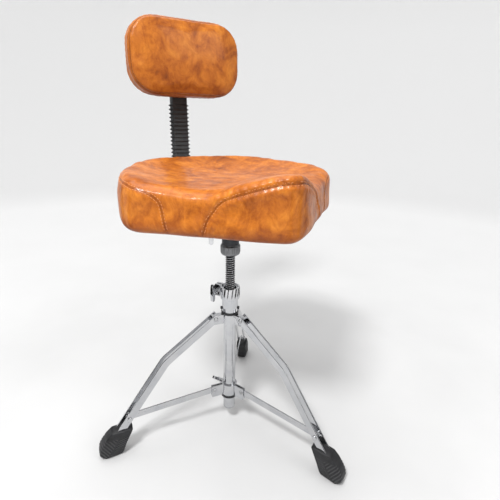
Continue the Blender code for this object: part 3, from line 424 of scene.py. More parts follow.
def tube(name, points, radius, look, sides=8, closed=False):
    """A round tube along a polyline, its ends closed."""
    points = np.array(points, float)
    count = len(points)
    verts = []
    up = None
    for index in range(count):
        if closed:
            ahead, behind = points[(index + 1) % count], points[index - 1]
        else:
            ahead, behind = points[min(index + 1, count - 1)], points[max(index - 1, 0)]
        along = Vector(ahead - behind).normalized()
        if up is None:
            up = along.orthogonal().normalized()
        up = (up - along * up.dot(along)).normalized()
        side = along.cross(up)
        for k in range(sides):
            turn = 2 * math.pi * k / sides
            verts.append(Vector(points[index]) + (up * math.cos(turn)
                                                  + side * math.sin(turn)) * radius)
    faces = ring_faces(count, sides, not closed, not closed)
    if closed:
        base = (count - 1) * sides
        for k in range(sides):
            following = (k + 1) % sides
            faces.append((base + k, k, following, base + following))
    return face_out(piece(name, verts, faces, look))


def stitches(name, lines, spacing, length, radius, look):
    """Short rounded stitches set along polylines of (point, normal)."""
    verts, faces = [], []
    for line in lines:
        points = np.array([point for point, _ in line], float)
        normals = np.array([normal for _, normal in line], float)
        run = np.concatenate([[0.0], np.cumsum(np.linalg.norm(np.diff(points, axis=0), axis=1))])
        place = spacing
        while place < run[-1] - spacing:
            middle = Vector([np.interp(place, run, points[:, k]) for k in range(3)])
            ahead = Vector([np.interp(place + 0.001, run, points[:, k]) for k in range(3)])
            out = Vector([np.interp(place, run, normals[:, k]) for k in range(3)]).normalized()
            along = (ahead - middle).normalized()
            side = along.cross(out).normalized()
            start = len(verts)
            rows = ((-0.5, 0.25, -0.9), (-0.36, 0.9, 0.1), (0.0, 1.0, 0.55), (0.36, 0.9, 0.1),
                    (0.5, 0.25, -0.9))
            for reach, size, lift in rows:
                for k in range(6):
                    turn = 2 * math.pi * k / 6
                    verts.append(middle + along * reach * length + out * lift * radius
                                 + (side * math.cos(turn) + out * math.sin(turn))
                                 * radius * size)
            faces += ring_faces(len(rows), 6, True, True, start)
            place += spacing
    return face_out(piece(name, verts, faces, look))


def surface(made):
    """A lookup of the nearest point on a finished piece."""
    dg = bpy.context.evaluated_depsgraph_get()
    return BVHTree.FromObject(made, dg)


def laid_on(tree, points, lift=0.0):
    """The points moved onto a surface: [(point, normal), ...]."""
    found = []
    for point in points:
        place, normal, _, _ = tree.find_nearest(Vector(point))
        found.append((place + normal * lift, normal))
    return found


def along_curve(stations, step):
    """An open Catmull-Rom curve through stations, at equal steps."""
    stations = np.array(stations, float)
    padded = np.vstack([2 * stations[0] - stations[1], stations,
                        2 * stations[-1] - stations[-2]])
    fine = []
    for index in range(1, len(padded) - 2):
        p0, p1, p2, p3 = padded[index - 1:index + 3]
        for t in np.linspace(0.0, 1.0, 20, endpoint=False):
            fine.append(0.5 * (2 * p1 + (p2 - p0) * t + (2 * p0 - 5 * p1 + 4 * p2 - p3) * t ** 2
                               + (3 * p1 - 3 * p2 + p3 - p0) * t ** 3))
    fine = np.array(fine + [stations[-1]])
    run = np.concatenate([[0.0], np.cumsum(np.linalg.norm(np.diff(fine, axis=0), axis=1))])
    goals = np.linspace(0.0, run[-1], max(2, int(run[-1] / step)))
    return np.stack([np.interp(goals, run, fine[:, k]) for k in range(3)], 1)


def puffed(made, pinned, cap, pressure):
    """Cloth-simulates a closed skin under pressure and keeps at most cap of each move."""
    rest = np.array([vert.co for vert in made.data.vertices])
    group = made.vertex_groups.new(name="pinned")
    for index, weight in enumerate(pinned):
        if weight > 0:
            group.add([index], float(weight), "REPLACE")
    cloth = made.modifiers.new("Cloth", "CLOTH")
    settings = cloth.settings
    settings.quality = 6
    settings.mass = 0.25
    settings.tension_stiffness = 18.0
    settings.compression_stiffness = 12.0
    settings.shear_stiffness = 6.0
    settings.bending_stiffness = 1.2
    settings.use_pressure = True
    settings.uniform_pressure_force = pressure
    settings.effector_weights.gravity = 0.0
    settings.vertex_group_mass = "pinned"
    settings.pin_stiffness = 1.0
    cloth.collision_settings.use_collision = False
    scene = bpy.context.scene
    scene.frame_start = 1
    scene.frame_end = 20
    cloth.point_cache.frame_start = 1
    cloth.point_cache.frame_end = 20
    for step in range(1, 21):
        scene.frame_set(step)
    dg = bpy.context.evaluated_depsgraph_get()
    moved = np.array([vert.co for vert in made.evaluated_get(dg).data.vertices])
    made.modifiers.remove(cloth)
    scene.frame_set(1)
    shift = moved - rest
    size = np.linalg.norm(shift, axis=1)
    held = cap * np.tanh(size / cap)
    shift *= (held / np.maximum(size, 1e-9))[:, None]
    made.data.vertices.foreach_set("co", (rest + shift).astype(np.float32).ravel())
    made.data.update()
    return made


def remeshed(made, size):
    """Replaces a closed piece's mesh by an even one of quads."""
    step = made.modifiers.new("Remesh", "REMESH")
    step.mode = "VOXEL"
    step.voxel_size = size
    step.use_smooth_shade = True
    look = made.data.materials[0]
    applied(made)
    made.data.materials.clear()
    made.data.materials.append(look)
    return relaxed(made, 6)


def relaxed(made, times):
    """Evens out a mesh without shrinking it much."""
    step = made.modifiers.new("Smooth", "SMOOTH")
    step.factor = 0.5
    step.iterations = times
    return applied(made)


def applied(made):
    """Turns a piece's modifiers into its mesh."""
    dg = bpy.context.evaluated_depsgraph_get()
    data = bpy.data.meshes.new_from_object(made.evaluated_get(dg))
    made.modifiers.clear()
    made.data = data
    return made


def subdivided(made, levels=1):
    step = made.modifiers.new("Subdivision", "SUBSURF")
    step.levels = levels
    step.render_levels = levels
    return applied(made)


def seamed(made, lines, depth, width, puff=0.0, pucker=0.0, pitch=0.011):
    """Presses sewn channels into a skin and paints shade into them; puckers gather beside the
    seam.
    """
    data = made.data
    count = len(data.vertices)
    co = np.zeros(count * 3, np.float32)
    data.vertices.foreach_get("co", co)
    co = co.reshape(-1, 3).astype(float)
    normals = np.zeros(count * 3, np.float32)
    data.vertex_normals.foreach_get("vector", normals)
    normals = normals.reshape(-1, 3)
    groove_shade = np.zeros(count, np.float32)
    move = np.zeros(count)
    for line in lines:
        line = np.array(line, float)
        run = np.concatenate([[0.0], np.cumsum(np.linalg.norm(np.diff(line, axis=0), axis=1))])
        reach = 0.035
        near = np.where(((co > line.min(0) - reach) & (co < line.max(0) + reach)).all(1))[0]
        tree = KDTree(len(line))
        for index, point in enumerate(line):
            tree.insert(point, index)
        tree.balance()
        found = np.array([tree.find(point)[1:] for point in co[near]])
        s, d = run[found[:, 0].astype(int)], found[:, 1]
        ends = np.clip(np.minimum(s, run[-1] - s) / 0.012, 0.0, 1.0)
        if np.linalg.norm(line[0] - line[-1]) < 0.004:
            ends = 1.0
        groove = -depth * np.exp(-(d / width) ** 2)
        swell = puff * np.exp(-((d - 2.6 * width) / (1.6 * width)) ** 2)
        wave = np.sin(2 * math.pi * s / pitch + 1.7 * np.sin(s * 83.0))
        folds = pucker * wave * np.exp(-((d - 2.2 * width) / (1.8 * width)) ** 2)
        move[near] += (groove + swell + folds) * ends
        # Painted shade at the bottom of each groove, kept in the attribute seam.
        groove_shade[near] = np.maximum(groove_shade[near], np.exp(-(d / (0.55 * width)) ** 2))
    co += normals * move[:, None]
    data.vertices.foreach_set("co", co.astype(np.float32).ravel())
    mark = data.attributes.new("seam", "FLOAT", "POINT")
    mark.data.foreach_set("value", groove_shade * 0.8)
    data.update()
    return made


# ---- saddle ------------------------------------------------------------------------------
SADDLE_SIDES = 300
SADDLE_BOTTOM = FLOOR + 0.4850
SADDLE_STATIONS = [             # w, u, lip height; half of the outline from the nose's tip
    (0.000, 0.2065, 0.5855), (0.013, 0.2030, 0.5850), (0.030, 0.1920, 0.5810),
    (0.050, 0.1770, 0.5740), (0.066, 0.1630, 0.5680), (0.098, 0.1320, 0.5550),
    (0.128, 0.1080, 0.5530), (0.151, 0.0860, 0.5555), (0.186, 0.0590, 0.5605),
    (0.198, 0.0440, 0.5635), (0.2015, 0.0150, 0.5680), (0.192, -0.0400, 0.5710),
    (0.169, -0.0900, 0.5735), (0.134, -0.1350, 0.5755), (0.077, -0.1690, 0.5770),
    (0.000, -0.1800, 0.5770),
]
LIP_ROUND = 0.0110
HEM_ROUND = 0.0125
HEM_WIDTH = 0.016               # how far the cover is folded in under the saddle
SADDLE_DISH = FLOOR + 0.5475    # lowest point of the sitting surface
SADDLE_VOXEL, SADDLE_PUFF = 0.0052, 0.0042
PRESSURE = 4.0                  # of the cloth simulation in both cushions


def saddle_loop():
    half = [(w, -u, z) for w, u, z in SADDLE_STATIONS]
    loop = half + [(-w, y, z) for w, y, z in reversed(half[1:-1])]
    loop = closed_curve(loop, SADDLE_SIDES)
    return loop + np.array(POST)


def saddle_top(loop, share):
    """Height of the dished top at a share of the way from its middle to the lip."""
    rise = np.clip(loop[:, 2] - SADDLE_DISH, -0.01, None)
    forward = POST.y - loop[:, 1]
    nose = np.clip((forward - 0.12) / 0.08, 0.0, 1.0)
    power = 2.3 - 0.9 * nose
    return SADDLE_DISH + rise * share ** power


def saddle():
    """The padded cover: a dished top, a rounded lip, a straight side and a folded hem."""
    loop = saddle_loop()
    normal = plan_normals(loop)
    spread = smoothed_loop(normal, 10)
    centre = np.array([POST.x, POST.y + 0.016])
    rim = loop[:, :2] - spread * LIP_ROUND
    rows = []
    for share in np.concatenate([[0.04], np.linspace(0.10, 0.94, 24), [0.97, 1.0]]):
        plan = centre + (rim - centre) * share
        rows.append(np.column_stack([plan, saddle_top(loop, share)]))
    for angle in (18.0, 36.0, 54.0, 72.0, 90.0):
        turn = math.radians(angle)
        plan = loop[:, :2] - spread * LIP_ROUND * (1 - math.sin(turn))
        rows.append(np.column_stack([plan, loop[:, 2] - LIP_ROUND * (1 - math.cos(turn))]))
    top, bottom = rows[-1][:, 2], SADDLE_BOTTOM + HEM_ROUND
    for share in np.linspace(0.1, 1.0, 10):
        rows.append(np.column_stack([loop[:, :2], top + (bottom - top) * share]))
    for angle in (22.0, 45.0, 68.0, 90.0):
        turn = math.radians(angle)
        plan = loop[:, :2] - spread * HEM_ROUND * (1 - math.cos(turn))
        height = SADDLE_BOTTOM + HEM_ROUND * (1 - math.sin(turn))
        rows.append(np.column_stack([plan, np.full(len(loop), height)]))
    plan = loop[:, :2] - spread * (HEM_ROUND + HEM_WIDTH)
    rows.append(np.column_stack([plan, np.full(len(loop), SADDLE_BOTTOM)]))
    verts = np.concatenate(rows)
    faces = ring_faces(len(rows), SADDLE_SIDES, True, True)
    made = face_out(piece("saddle_cover", verts, faces, LEATHER))
    remeshed(made, SADDLE_VOXEL)
    heights = np.array([vert.co.z for vert in made.data.vertices])
    held = np.clip((SADDLE_BOTTOM + 0.022 - heights) / 0.014, 0.0, 1.0)
    puffed(made, held, SADDLE_PUFF, PRESSURE)
    relaxed(made, 5)
    inner = loop[:, :2] - spread * (HEM_ROUND + HEM_WIDTH)
    opened(made, lambda co, out: out.z < -0.8 and co.z < SADDLE_BOTTOM + 0.004
           and inside(inner, co.x, co.y))
    return subdivided(made)


def inside(outline, x, y):
    """Whether a plan point lies within a closed outline."""
    ends = np.roll(outline, -1, 0)
    across = (outline[:, 1] > y) != (ends[:, 1] > y)
    rise = np.where(across, ends[:, 1] - outline[:, 1], 1.0)
    reach = outline[:, 0] + (y - outline[:, 1]) / rise * (ends[:, 0] - outline[:, 0])
    return bool((across & (x < reach)).sum() % 2)


def opened(made, chosen):
    """Removes the faces chosen by their middle and their normal."""
    bm = bmesh.new()
    bm.from_mesh(made.data)
    gone = [face for face in bm.faces if chosen(face.calc_center_median(), face.normal)]
    bmesh.ops.delete(bm, geom=gone, context="FACES")
    bm.to_mesh(made.data)
    bm.free()


def from_post(stations):
    """(w, u, z) stations in the CAD's frame."""
    return [(POST.x + w, POST.y - u, FLOOR + z) for w, u, z in stations]


NOSE_SEAM = [                   # one half, from the bottom edge up to the nose's tip
    (-0.110, 0.1215, 0.4860), (-0.109, 0.1235, 0.4935), (-0.106, 0.1255, 0.5075),
    (-0.102, 0.1290, 0.5200), (-0.097, 0.1335, 0.5305), (-0.092, 0.1375, 0.5385),
    (-0.086, 0.1430, 0.5455), (-0.079, 0.1500, 0.5508), (-0.065, 0.1635, 0.5578),
    (-0.050, 0.1775, 0.5648), (-0.029, 0.1935, 0.5722), (-0.013, 0.2035, 0.5750),
    (0.000, 0.2070, 0.5755),
]
LOBE_SEAM = [                   # one half, from the bottom edge up and back round the rear
    (-0.150, 0.0850, 0.4860), (-0.151, 0.0845, 0.4935), (-0.154, 0.0815, 0.5125),
    (-0.158, 0.0790, 0.5320), (-0.161, 0.0765, 0.5395), (-0.166, 0.0730, 0.5450),
    (-0.172, 0.0685, 0.5505), (-0.179, 0.0635, 0.5555), (-0.187, 0.0580, 0.5590),
    (-0.194, 0.0510, 0.5615), (-0.198, 0.0430, 0.5630), (-0.201, 0.0250, 0.5640),
    (-0.200, 0.0000, 0.5640), (-0.192, -0.0400, 0.5640), (-0.169, -0.0900, 0.5645),
    (-0.134, -0.1350, 0.5650), (-0.077, -0.1690, 0.5655), (0.000, -0.1802, 0.5655),
]


def both_halves(seam):
    return seam + [(-w, u, z) for w, u, z in reversed(seam[:-1])]


def finish_saddle(made):
    """Sews the saddle's two seams and gives its cover a thickness."""
    lines = [along_curve(from_post(both_halves(seam)), 0.0015)
             for seam in (NOSE_SEAM, LOBE_SEAM)]
    tree = surface(made)
    lines = [[tuple(point) for point, _ in laid_on(tree, line)] for line in lines]
    seamed(made, lines[:1], 0.0016, 0.0034, 0.0010, 0.00035)
    made.data.attributes.remove(made.data.attributes["seam"])
    seamed(made, lines, 0.0006, 0.0034, 0.0, 0.0)
    shell = made.modifiers.new("Solidify", "SOLIDIFY")
    shell.thickness = 0.0018
    shell.offset = -1.0
    tree = surface(made)
    dark, rows = [], []
    for index, line in enumerate(lines):
        on = laid_on(tree, line, -0.0001)
        on = on[3:-3]
        # A dark tube sunk just under the surface along each seam: painted shade.
        dark.append(tube(f"saddle_seam_{index + 1}", [point for point, _ in on], 0.00055,
                         PAINTED_SHADE_LEATHER, 6))
        for side in (-1.0, 1.0):
            shifted = []
            for place in range(1, len(on) - 1):
                point, out = on[place]
                along = (on[place + 1][0] - on[place - 1][0]).normalized()
                shifted.append(point + along.cross(out) * side * 0.0026)
            rows.append(laid_on(tree, shifted, 0.0001))
    sewn = stitches("saddle_stitches", rows, 0.0052, 0.0036, 0.00050, COTTON)
    applied(made)
    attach(made, "seat")
    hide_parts("seat_cover", "seat_foam")
    for extra in (*dark, sewn):
        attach(extra, "seat")
    return made


# ---- backrest pad ------------------------------------------------------------------------
PAD_LOW, PAD_HIGH = 0.1198, 0.2633
PAD_WIDTH = 0.2342
PAD_CORNER = 0.050
PAD_FRONT, PAD_HEM = -0.0794, -0.0264
PAD_SIDES = 220
PAD_CROWN, PAD_EDGE = 0.0060, 0.0070
PAD_VOXEL, PAD_PUFF = 0.0040, 0.0018


def leaned(x, across, along):
    """A point of the backrest's leaning frame: x, across the upright, along the upright."""
    return (UPRIGHT_FOOT.x + x,
            UPRIGHT_FOOT.y + across * math.cos(LEAN) + along * math.sin(LEAN),
            UPRIGHT_FOOT.z - across * math.sin(LEAN) + along * math.cos(LEAN))


def pad_loop(inset, depth, bow=0.0):
    """A rounded rectangle in the pad's plane, with sides that bow out a little."""
    half_w, half_h = PAD_WIDTH / 2 - inset, (PAD_HIGH - PAD_LOW) / 2 - inset
    corner = min(max(PAD_CORNER - inset * 0.6, 0.006), half_h * 0.98)
    middle = (PAD_LOW + PAD_HIGH) / 2
    points = []
    for index, (sx, sz) in enumerate(((1, 1), (-1, 1), (-1, -1), (1, -1))):
        for share in np.linspace(0.0, 1.0, 40):
            turn = math.radians(90.0 * (index + share))
            points.append((sx * (half_w - corner) + corner * math.cos(turn),
                           sz * (half_h - corner) + corner * math.sin(turn)))
    points = np.array(points + points[:1])
    run = np.concatenate([[0.0], np.cumsum(np.linalg.norm(np.diff(points, axis=0), axis=1))])
    goals = np.linspace(0.0, run[-1], PAD_SIDES, endpoint=False)
    x, z = (np.interp(goals, run, points[:, k]) for k in (0, 1))
    x, z = x * (1 + bow * (1 - (z / half_h) ** 2)), z * (1 + bow * (1 - (x / half_w) ** 2))
    return [leaned(px, depth, middle + pz) for px, pz in zip(x, z)]


def backrest_pad():
    """A box cushion with a welt round its front and another round its back."""
    crown, edge = PAD_CROWN, PAD_EDGE
    rows = []
    for share in np.linspace(0.06, 1.0, 15):
        inset = edge + (0.068 - edge) * (1 - share)
        rows.append(pad_loop(inset, PAD_FRONT + crown * share ** 2.6, 0.004))
    for angle in (20.0, 40.0, 60.0, 80.0):
        turn = math.radians(angle)
        rows.append(pad_loop(edge * (1 - math.sin(turn)),
                             PAD_FRONT + crown + edge * (1 - math.cos(turn)), 0.006))
    start, end = PAD_FRONT + crown + edge, PAD_HEM - 0.005
    for share in np.linspace(0.0, 1.0, 9):
        rows.append(pad_loop(-0.0004 * math.sin(math.pi * share), start + (end - start) * share,
                             0.006))
    for angle in (30.0, 60.0, 90.0):
        turn = math.radians(angle)
        rows.append(pad_loop(0.005 * (1 - math.cos(turn)), end + 0.005 * math.sin(turn), 0.006))
    rows.append(pad_loop(0.018, PAD_HEM, 0.004))
    verts = np.concatenate([np.array(row) for row in rows])
    faces = ring_faces(len(rows), PAD_SIDES, True, True)
    made = face_out(piece("backrest_cover", verts, faces, PAD_LEATHER))
    remeshed(made, PAD_VOXEL)
    co = np.array([vert.co for vert in made.data.vertices])
    depth = (co[:, 1] - UPRIGHT_FOOT.y) * math.cos(LEAN) - (
        co[:, 2] - UPRIGHT_FOOT.z) * math.sin(LEAN)
    held = np.clip((depth - PAD_HEM + 0.016) / 0.010, 0.0, 1.0)
    puffed(made, held, PAD_PUFF, PRESSURE)
    relaxed(made, 10)
    subdivided(made)
    front = PAD_FRONT + crown + edge - 0.0005
    rear = PAD_HEM - 0.011
    tree = surface(made)
    lines = []
    for depth in (front, rear):
        line = pad_loop(0.0, depth, 0.006)
        line = [tuple(point) for point, _ in laid_on(tree, line + line[:1])]
        lines.append(line)
    seamed(made, lines, 0.0016, 0.0024, 0.0006, 0.0002, 0.013)
    shell = made.modifiers.new("Solidify", "SOLIDIFY")
    shell.thickness = 0.0018
    shell.offset = -1.0
    tree = surface(made)
    extras = []
    for index, line in enumerate(lines):
        on = laid_on(tree, line[:-1], 0.0001)
        # The front welt is in the darkened leather, painted shade; the rear welt is in the pad's
        # own leather.
        extras.append(tube(f"backrest_welt_{index + 1}", [point for point, _ in on],
                           0.0011, PAINTED_SHADE_LEATHER if index == 0 else LEATHER,
                           8, True))
    applied(made)
    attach(made, "backrest_pad")
    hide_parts("pad_cover", "pad_foam")
    for extra in extras:
        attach(extra, "backrest_pad")
    return made


# ---- bellows -----------------------------------------------------------------------------
def bellows():
    """Rubber accordion sleeve, built at one fixed length."""
    low, high = -0.068, 0.1265
    teeth, cuff_low, cuff_high = 20, 0.005, 0.019
    pitch = (high - low - cuff_low - cuff_high) / teeth
    levels = [(low, 0.0, -0.0012), (low + 0.001, 0.1, 0.0), (low + cuff_low, 0.1, 0.0)]
    for tooth in range(teeth):
        base = low + cuff_low + pitch * tooth
        levels += [(base + pitch * share, reach, change) for share, reach, change in (
            (0.10, 0.0, -0.0009), (0.20, 0.12, -0.0012), (0.38, 0.62, -0.0004),
            (0.50, 0.96, 0.0), (0.56, 1.0, 0.0002), (0.62, 0.96, 0.0), (0.76, 0.55, -0.0003),
            (0.92, 0.10, -0.0007))]
    levels += [(high - cuff_high + 0.002, 0.15, 0.0), (high - 0.001, 0.15, 0.0),
               (high, 0.0, -0.0012)]

    def section(tip, face, depth, edge, rounding):
        half = [(tip, 0.0), (tip - 0.0004, edge * 0.7), (tip - 0.0012, edge)]
        half += [(face + rounding, depth - rounding * 1.1), (face + rounding * 0.5,
                 depth - rounding * 0.35), (face, depth), (face * 0.5, depth), (0.0, depth)]
        quarter = half + [(-x, y) for x, y in reversed(half[:-1])]
        return quarter + [(x, -y) for x, y in reversed(quarter[1:-1])]

    verts = []
    for along, reach, change in levels:
        depth = 0.0102 + change
        verts += [leaned(x, y, along) for x, y in section(
            0.0177 + 0.0058 * reach, 0.0160, depth, (depth - 0.0030) * (1 - 0.75 * reach), 0.0010)]
    around = len(section(1, 1, 1, 1, 1))
    for along in (high, low):
        verts += [leaned(x, y, along) for x, y in section(0.0160, 0.0150, 0.0042, 0.0030,
                                                          0.0004)]
    rows = len(verts) // around
    faces = ring_faces(rows, around)
    base = (rows - 1) * around
    for index in range(around):
        following = (index + 1) % around
        faces.append((base + index, index, following, base + following))
    made = face_out(piece("bellows_sleeve", verts, faces, BELLOWS_RUBBER))
    made.data.shade_flat()
    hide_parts("bellows")
    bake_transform(made)
    return made


# ---- spindle and grip collar ---------------------------------------------------------------
def spindle():
    """The height screw with its 4.5 mm pitch rolled thread, a plain neck and a plain top."""
    pitch, root, crest = 0.0045, 0.0074, 0.0095
    start, end = 0.1960, 0.4520
    profile = [(0.0044, 0.1760), (0.0084, 0.1764), (0.0084, 0.1796), (0.0057, 0.1797),
               (0.0057, 0.1922), (0.0080, 0.1923)]
    heights = np.arange(start, end, pitch / 8)
    profile += [(None, height) for height in heights]
    profile += [(0.0095, end), (0.0095, 0.4790), (0.0085, 0.4800), (0.0040, 0.4800)]

    def thread(angle, radius, height):
        if radius is not None:
            return radius
        phase = (height / pitch - angle / (2 * math.pi)) % 1.0
        wave = 0.5 - 0.5 * math.cos(2 * math.pi * phase)
        fade = min(1.0, (height - start) / 0.004, (end - height) / 0.004)
        return root + (crest - root) * (1 - fade * (1 - wave ** 0.8))

    made = lathe("threaded_spindle", profile, SCREW, 40, wobble=thread)
    # How far each point sinks towards the thread's root: the mask of the painted shade.
    root_shade = []
    for vert in made.data.vertices:
        radius = math.hypot(vert.co.x - POST.x, vert.co.y - POST.y)
        threaded = start + FLOOR < vert.co.z < end + FLOOR
        root_shade.append(min(1.0, max(0.0, (crest - radius) / (crest - root)) * 1.25) * threaded)
    made.data.attributes.new("root", "FLOAT", "POINT").data.foreach_set("value", root_shade)
    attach(made, "seat")
    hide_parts("spindle")
    return made


def grip_collar():
    """Knurled collar that locks the spindle, with a rounded lower edge and a plain neck."""
    low, high = 0.4066, 0.4290
    bore = 0.0099
    rows = [(bore, low + 0.0002), (0.0135, low), (0.0158, low + 0.0008),
            (0.0175, low + 0.0022), (0.0187, low + 0.0042), (0.0191, low + 0.0062),
            (0.0192, low + 0.0120), (0.0192, high - 0.0050), (0.0190, high - 0.0032),
            (0.0176, high - 0.0026), (0.0172, high - 0.0006), (0.0168, high), (bore, high),
            (bore, low + 0.0002)]

    def knurl(angle, radius, height):
        if radius < 0.0180:
            return radius
        wave = math.cos(26 * angle)
        depth = 0.0009 * min(1.0, (height - low - 0.001) / 0.004)
        return radius - depth * (0.5 - 0.5 * wave) ** 2.2

    angles = 26 * 8
    made = lathe("grip_collar_knurled", rows[:-1], CAST, angles, wobble=knurl)
    bm = bmesh.new()
    bm.from_mesh(made.data)
    caps = [face for face in bm.faces if len(face.verts) > 4]
    bmesh.ops.delete(bm, geom=caps, context="FACES_ONLY")
    rims = sorted({vert for edge in bm.edges if edge.is_boundary for vert in edge.verts},
                  key=lambda vert: vert.index)
    count = len(rims) // 2
    for index in range(count):
        following = (index + 1) % count
        bm.faces.new((rims[index], rims[following], rims[count + following],
                      rims[count + index]))
    bmesh.ops.recalc_face_normals(bm, faces=bm.faces[:])
    bm.to_mesh(made.data)
    bm.free()
    made.data.shade_smooth()
    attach(made, "seat")
    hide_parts("grip_collar")
    return made


# ---- boots ---------------------------------------------------------------------------------
BOOT_ROWS = [                   # height, inner end, outer end, half width, how full the ends are
    (0.0120, 0.2362, 0.2636, 0.0100, 0.78), (0.0128, 0.2345, 0.2660, 0.0115, 0.78),
    (0.0150, 0.2312, 0.2705, 0.0132, 0.78), (0.0190, 0.2288, 0.2738, 0.0146, 0.80),
    (0.0230, 0.2277, 0.2752, 0.0154, 0.80), (0.0300, 0.2250, 0.2752, 0.0158, 0.82),
    (0.0380, 0.2222, 0.2730, 0.0158, 0.84), (0.0480, 0.2172, 0.2672, 0.0152, 0.86),
    (0.0580, 0.2122, 0.2592, 0.0144, 0.88), (0.0655, 0.2085, 0.2512, 0.0138, 0.88),
    (0.0674, 0.2085, 0.2495, 0.0134, 0.88), (0.0680, 0.2095, 0.2485, 0.0128, 0.88),
]


def boot(name):
    """A wedge-shaped rubber foot: ribs run down to a ridge along the middle of each side."""
    turn = math.radians(LEG_AZIMUTHS[name])
    table = np.array(BOOT_ROWS)
    levels = np.concatenate([[0.0120, 0.0124, 0.0130], np.linspace(0.0140, 0.0660, 70),
                             [0.0674, 0.0680]])
    around = 144
    verts, crest_pale = [], []
    for level in levels:
        near, far, half, full = (np.interp(level, table[:, 0], table[:, k])
                                 for k in (1, 2, 3, 4))
        share = np.clip((level - 0.012) / 0.056, 0.0, 1.0)
        ridge = 0.2640 - 0.0370 * share ** 0.9
        end = half * full
        corners = [(far, 0.0), (far - 0.0005, end * 0.85), (far - 0.0022, end),
                   (ridge + 0.0014, half * 0.985), (ridge, half), (ridge - 0.0014, half * 0.985),
                   (near + 0.0022, end), (near + 0.0005, end * 0.85), (near, 0.0)]
        outline = np.array(corners + [(x, -y) for x, y in reversed(corners[:-1])])
        run = np.concatenate([[0.0], np.cumsum(np.linalg.norm(np.diff(outline, axis=0), axis=1))])
        goals = np.linspace(0.0, run[-1], around, endpoint=False)
        loop = np.stack([np.interp(goals, run, outline[:, k]) for k in (0, 1)], 1)
        normal = plan_normals(loop)
        for (x, y), (nx, ny) in zip(loop, normal):
            off = abs(x - ridge)
            v = level - 0.75 * off if level < 0.034 or x > ridge else level - 0.12 * off
            wave = 0.5 - 0.5 * math.cos(2 * math.pi * v / 0.0050)
            fade = (np.clip((off - 0.0012) / 0.0012, 0, 1)
                    * np.clip((level - 0.0145) / 0.002, 0, 1)
                    * np.clip((0.056 - level) / 0.003, 0, 1)
                    * np.clip((abs(y) - end * 0.5) / 0.002, 0, 1))
            dent = -0.0012 * (wave ** 2.5) * fade
            # Paler on the proud rib crests.
            crest_pale.append(fade * max(0.0, 1 - 3.2 * wave))
            px, py = x + nx * dent, y + ny * dent
            verts.append((POST.x + px * math.cos(turn) - py * math.sin(turn),
                          POST.y + px * math.sin(turn) + py * math.cos(turn), FLOOR + level))
    faces = ring_faces(len(levels), around, True, True)
    made = face_out(piece(f"boot_{name}", verts, faces, BOOT_RUBBER))
    made.data.attributes.new("rib", "FLOAT", "POINT").data.foreach_set("value", crest_pale)
    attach(made, f"leg_{name}")
    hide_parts(f"leg_{name}_boot")
    return made


# ---- CAD nodes that stay -------------------------------------------------------------------
BEVELS = {"chrome": 0.00045, "satin_steel": 0.0003, "black_steel": 0.0004,
          "black_plastic": 0.0003}


def dress_nodes():
    """Materials on every CAD node, and softened edges on those that show."""
    slots = {row["node"]: row["material_slot"] for row in frame["record"]["subparts"]}
    for name, node in NODES.items():
        slot = slots[name]
        for place in node.material_slots:
            place.material = SLOT_LOOKS[slot]
        if slot in BEVELS and not node.hide_render:
            weld = node.modifiers.new("Weld", "WELD")
            weld.merge_threshold = 0.00002
            width = 0.0009 if name.endswith("wing_bolt") else BEVELS[slot]
            bevel = node.modifiers.new("Bevel", "BEVEL")
            bevel.width = width
            bevel.segments = 2
            bevel.limit_method = "ANGLE"
            bevel.angle_limit = math.radians(35.0)
            bevel.use_clamp_overlap = True
            bevel.harden_normals = False
            node.data.shade_smooth()
            smooth = node.modifiers.new("Normals", "WEIGHTED_NORMAL")
            smooth.keep_sharp = False


# ---- floor, lights and camera --------------------------------------------------------------
def floor():
    """A pale seamless backdrop: a round floor that sweeps up into a wall."""
    profile = [(0.02, 0.0), (0.6, 0.0), (1.5, 0.0), (3.0, 0.0)]
    profile += [(3.0 + 1.6 * math.sin(turn), 1.6 * (1 - math.cos(turn)))
                for turn in np.radians(np.linspace(6.0, 90.0, 15))]
    profile += [(4.6, 2.2), (4.6, 3.0)]
    around = 96
    verts = [(radius * math.cos(turn), radius * math.sin(turn), height)
             for radius, height in profile
             for turn in np.linspace(0.0, 2 * math.pi, around, endpoint=False)]
    look = Look("studio_floor_paper", Specular_IOR_Level=0.2)
    paper = look.noise(3.0, 3.0)
    reach = look.add("ShaderNodeVectorMath", operation="LENGTH")
    look.wire(look.point, reach.inputs[0])
    # Painted light: the paper is grey near the set and brightens to near-white on the far floor
    # and the wall.
    shade = look.span(reach.outputs["Value"], 0.0, 1.0, 0.5, 2.4)
    near = look.ramp(paper, [(0.3, (0.56, 0.56, 0.56)), (0.7, (0.60, 0.60, 0.60))])
    look.color(look.blend(shade, near, (0.96, 0.96, 0.96)))
    look.rough(look.span(paper, 0.75, 0.9))
    faces = ring_faces(len(profile), around, True)
    piece("studio_floor", verts, faces, look.material)


def flag(name, azimuth, distance, width, height, middle):
    """A black card beside the set, out of the camera's sight."""
    turn = math.radians(azimuth)
    centre = POST + Vector((math.cos(turn) * distance, math.sin(turn) * distance, middle))
    side = Vector((-math.sin(turn), math.cos(turn), 0.0)) * width / 2
    up = Vector((0.0, 0.0, height / 2))
    look = Look(name + "_cloth", Roughness=1.0, Specular_IOR_Level=0.0)
    look.color(look.ramp(look.noise(20.0), [(0.3, (0.004, 0.004, 0.004)),
                                            (0.7, (0.010, 0.010, 0.010))]))
    corners = [centre - side - up, centre + side - up, centre + side + up, centre - side + up]
    made = piece(name, corners, [(0, 1, 2, 3)], look.material, smooth=False)
    made.visible_camera = False
    made.visible_diffuse = False
    made.visible_shadow = False


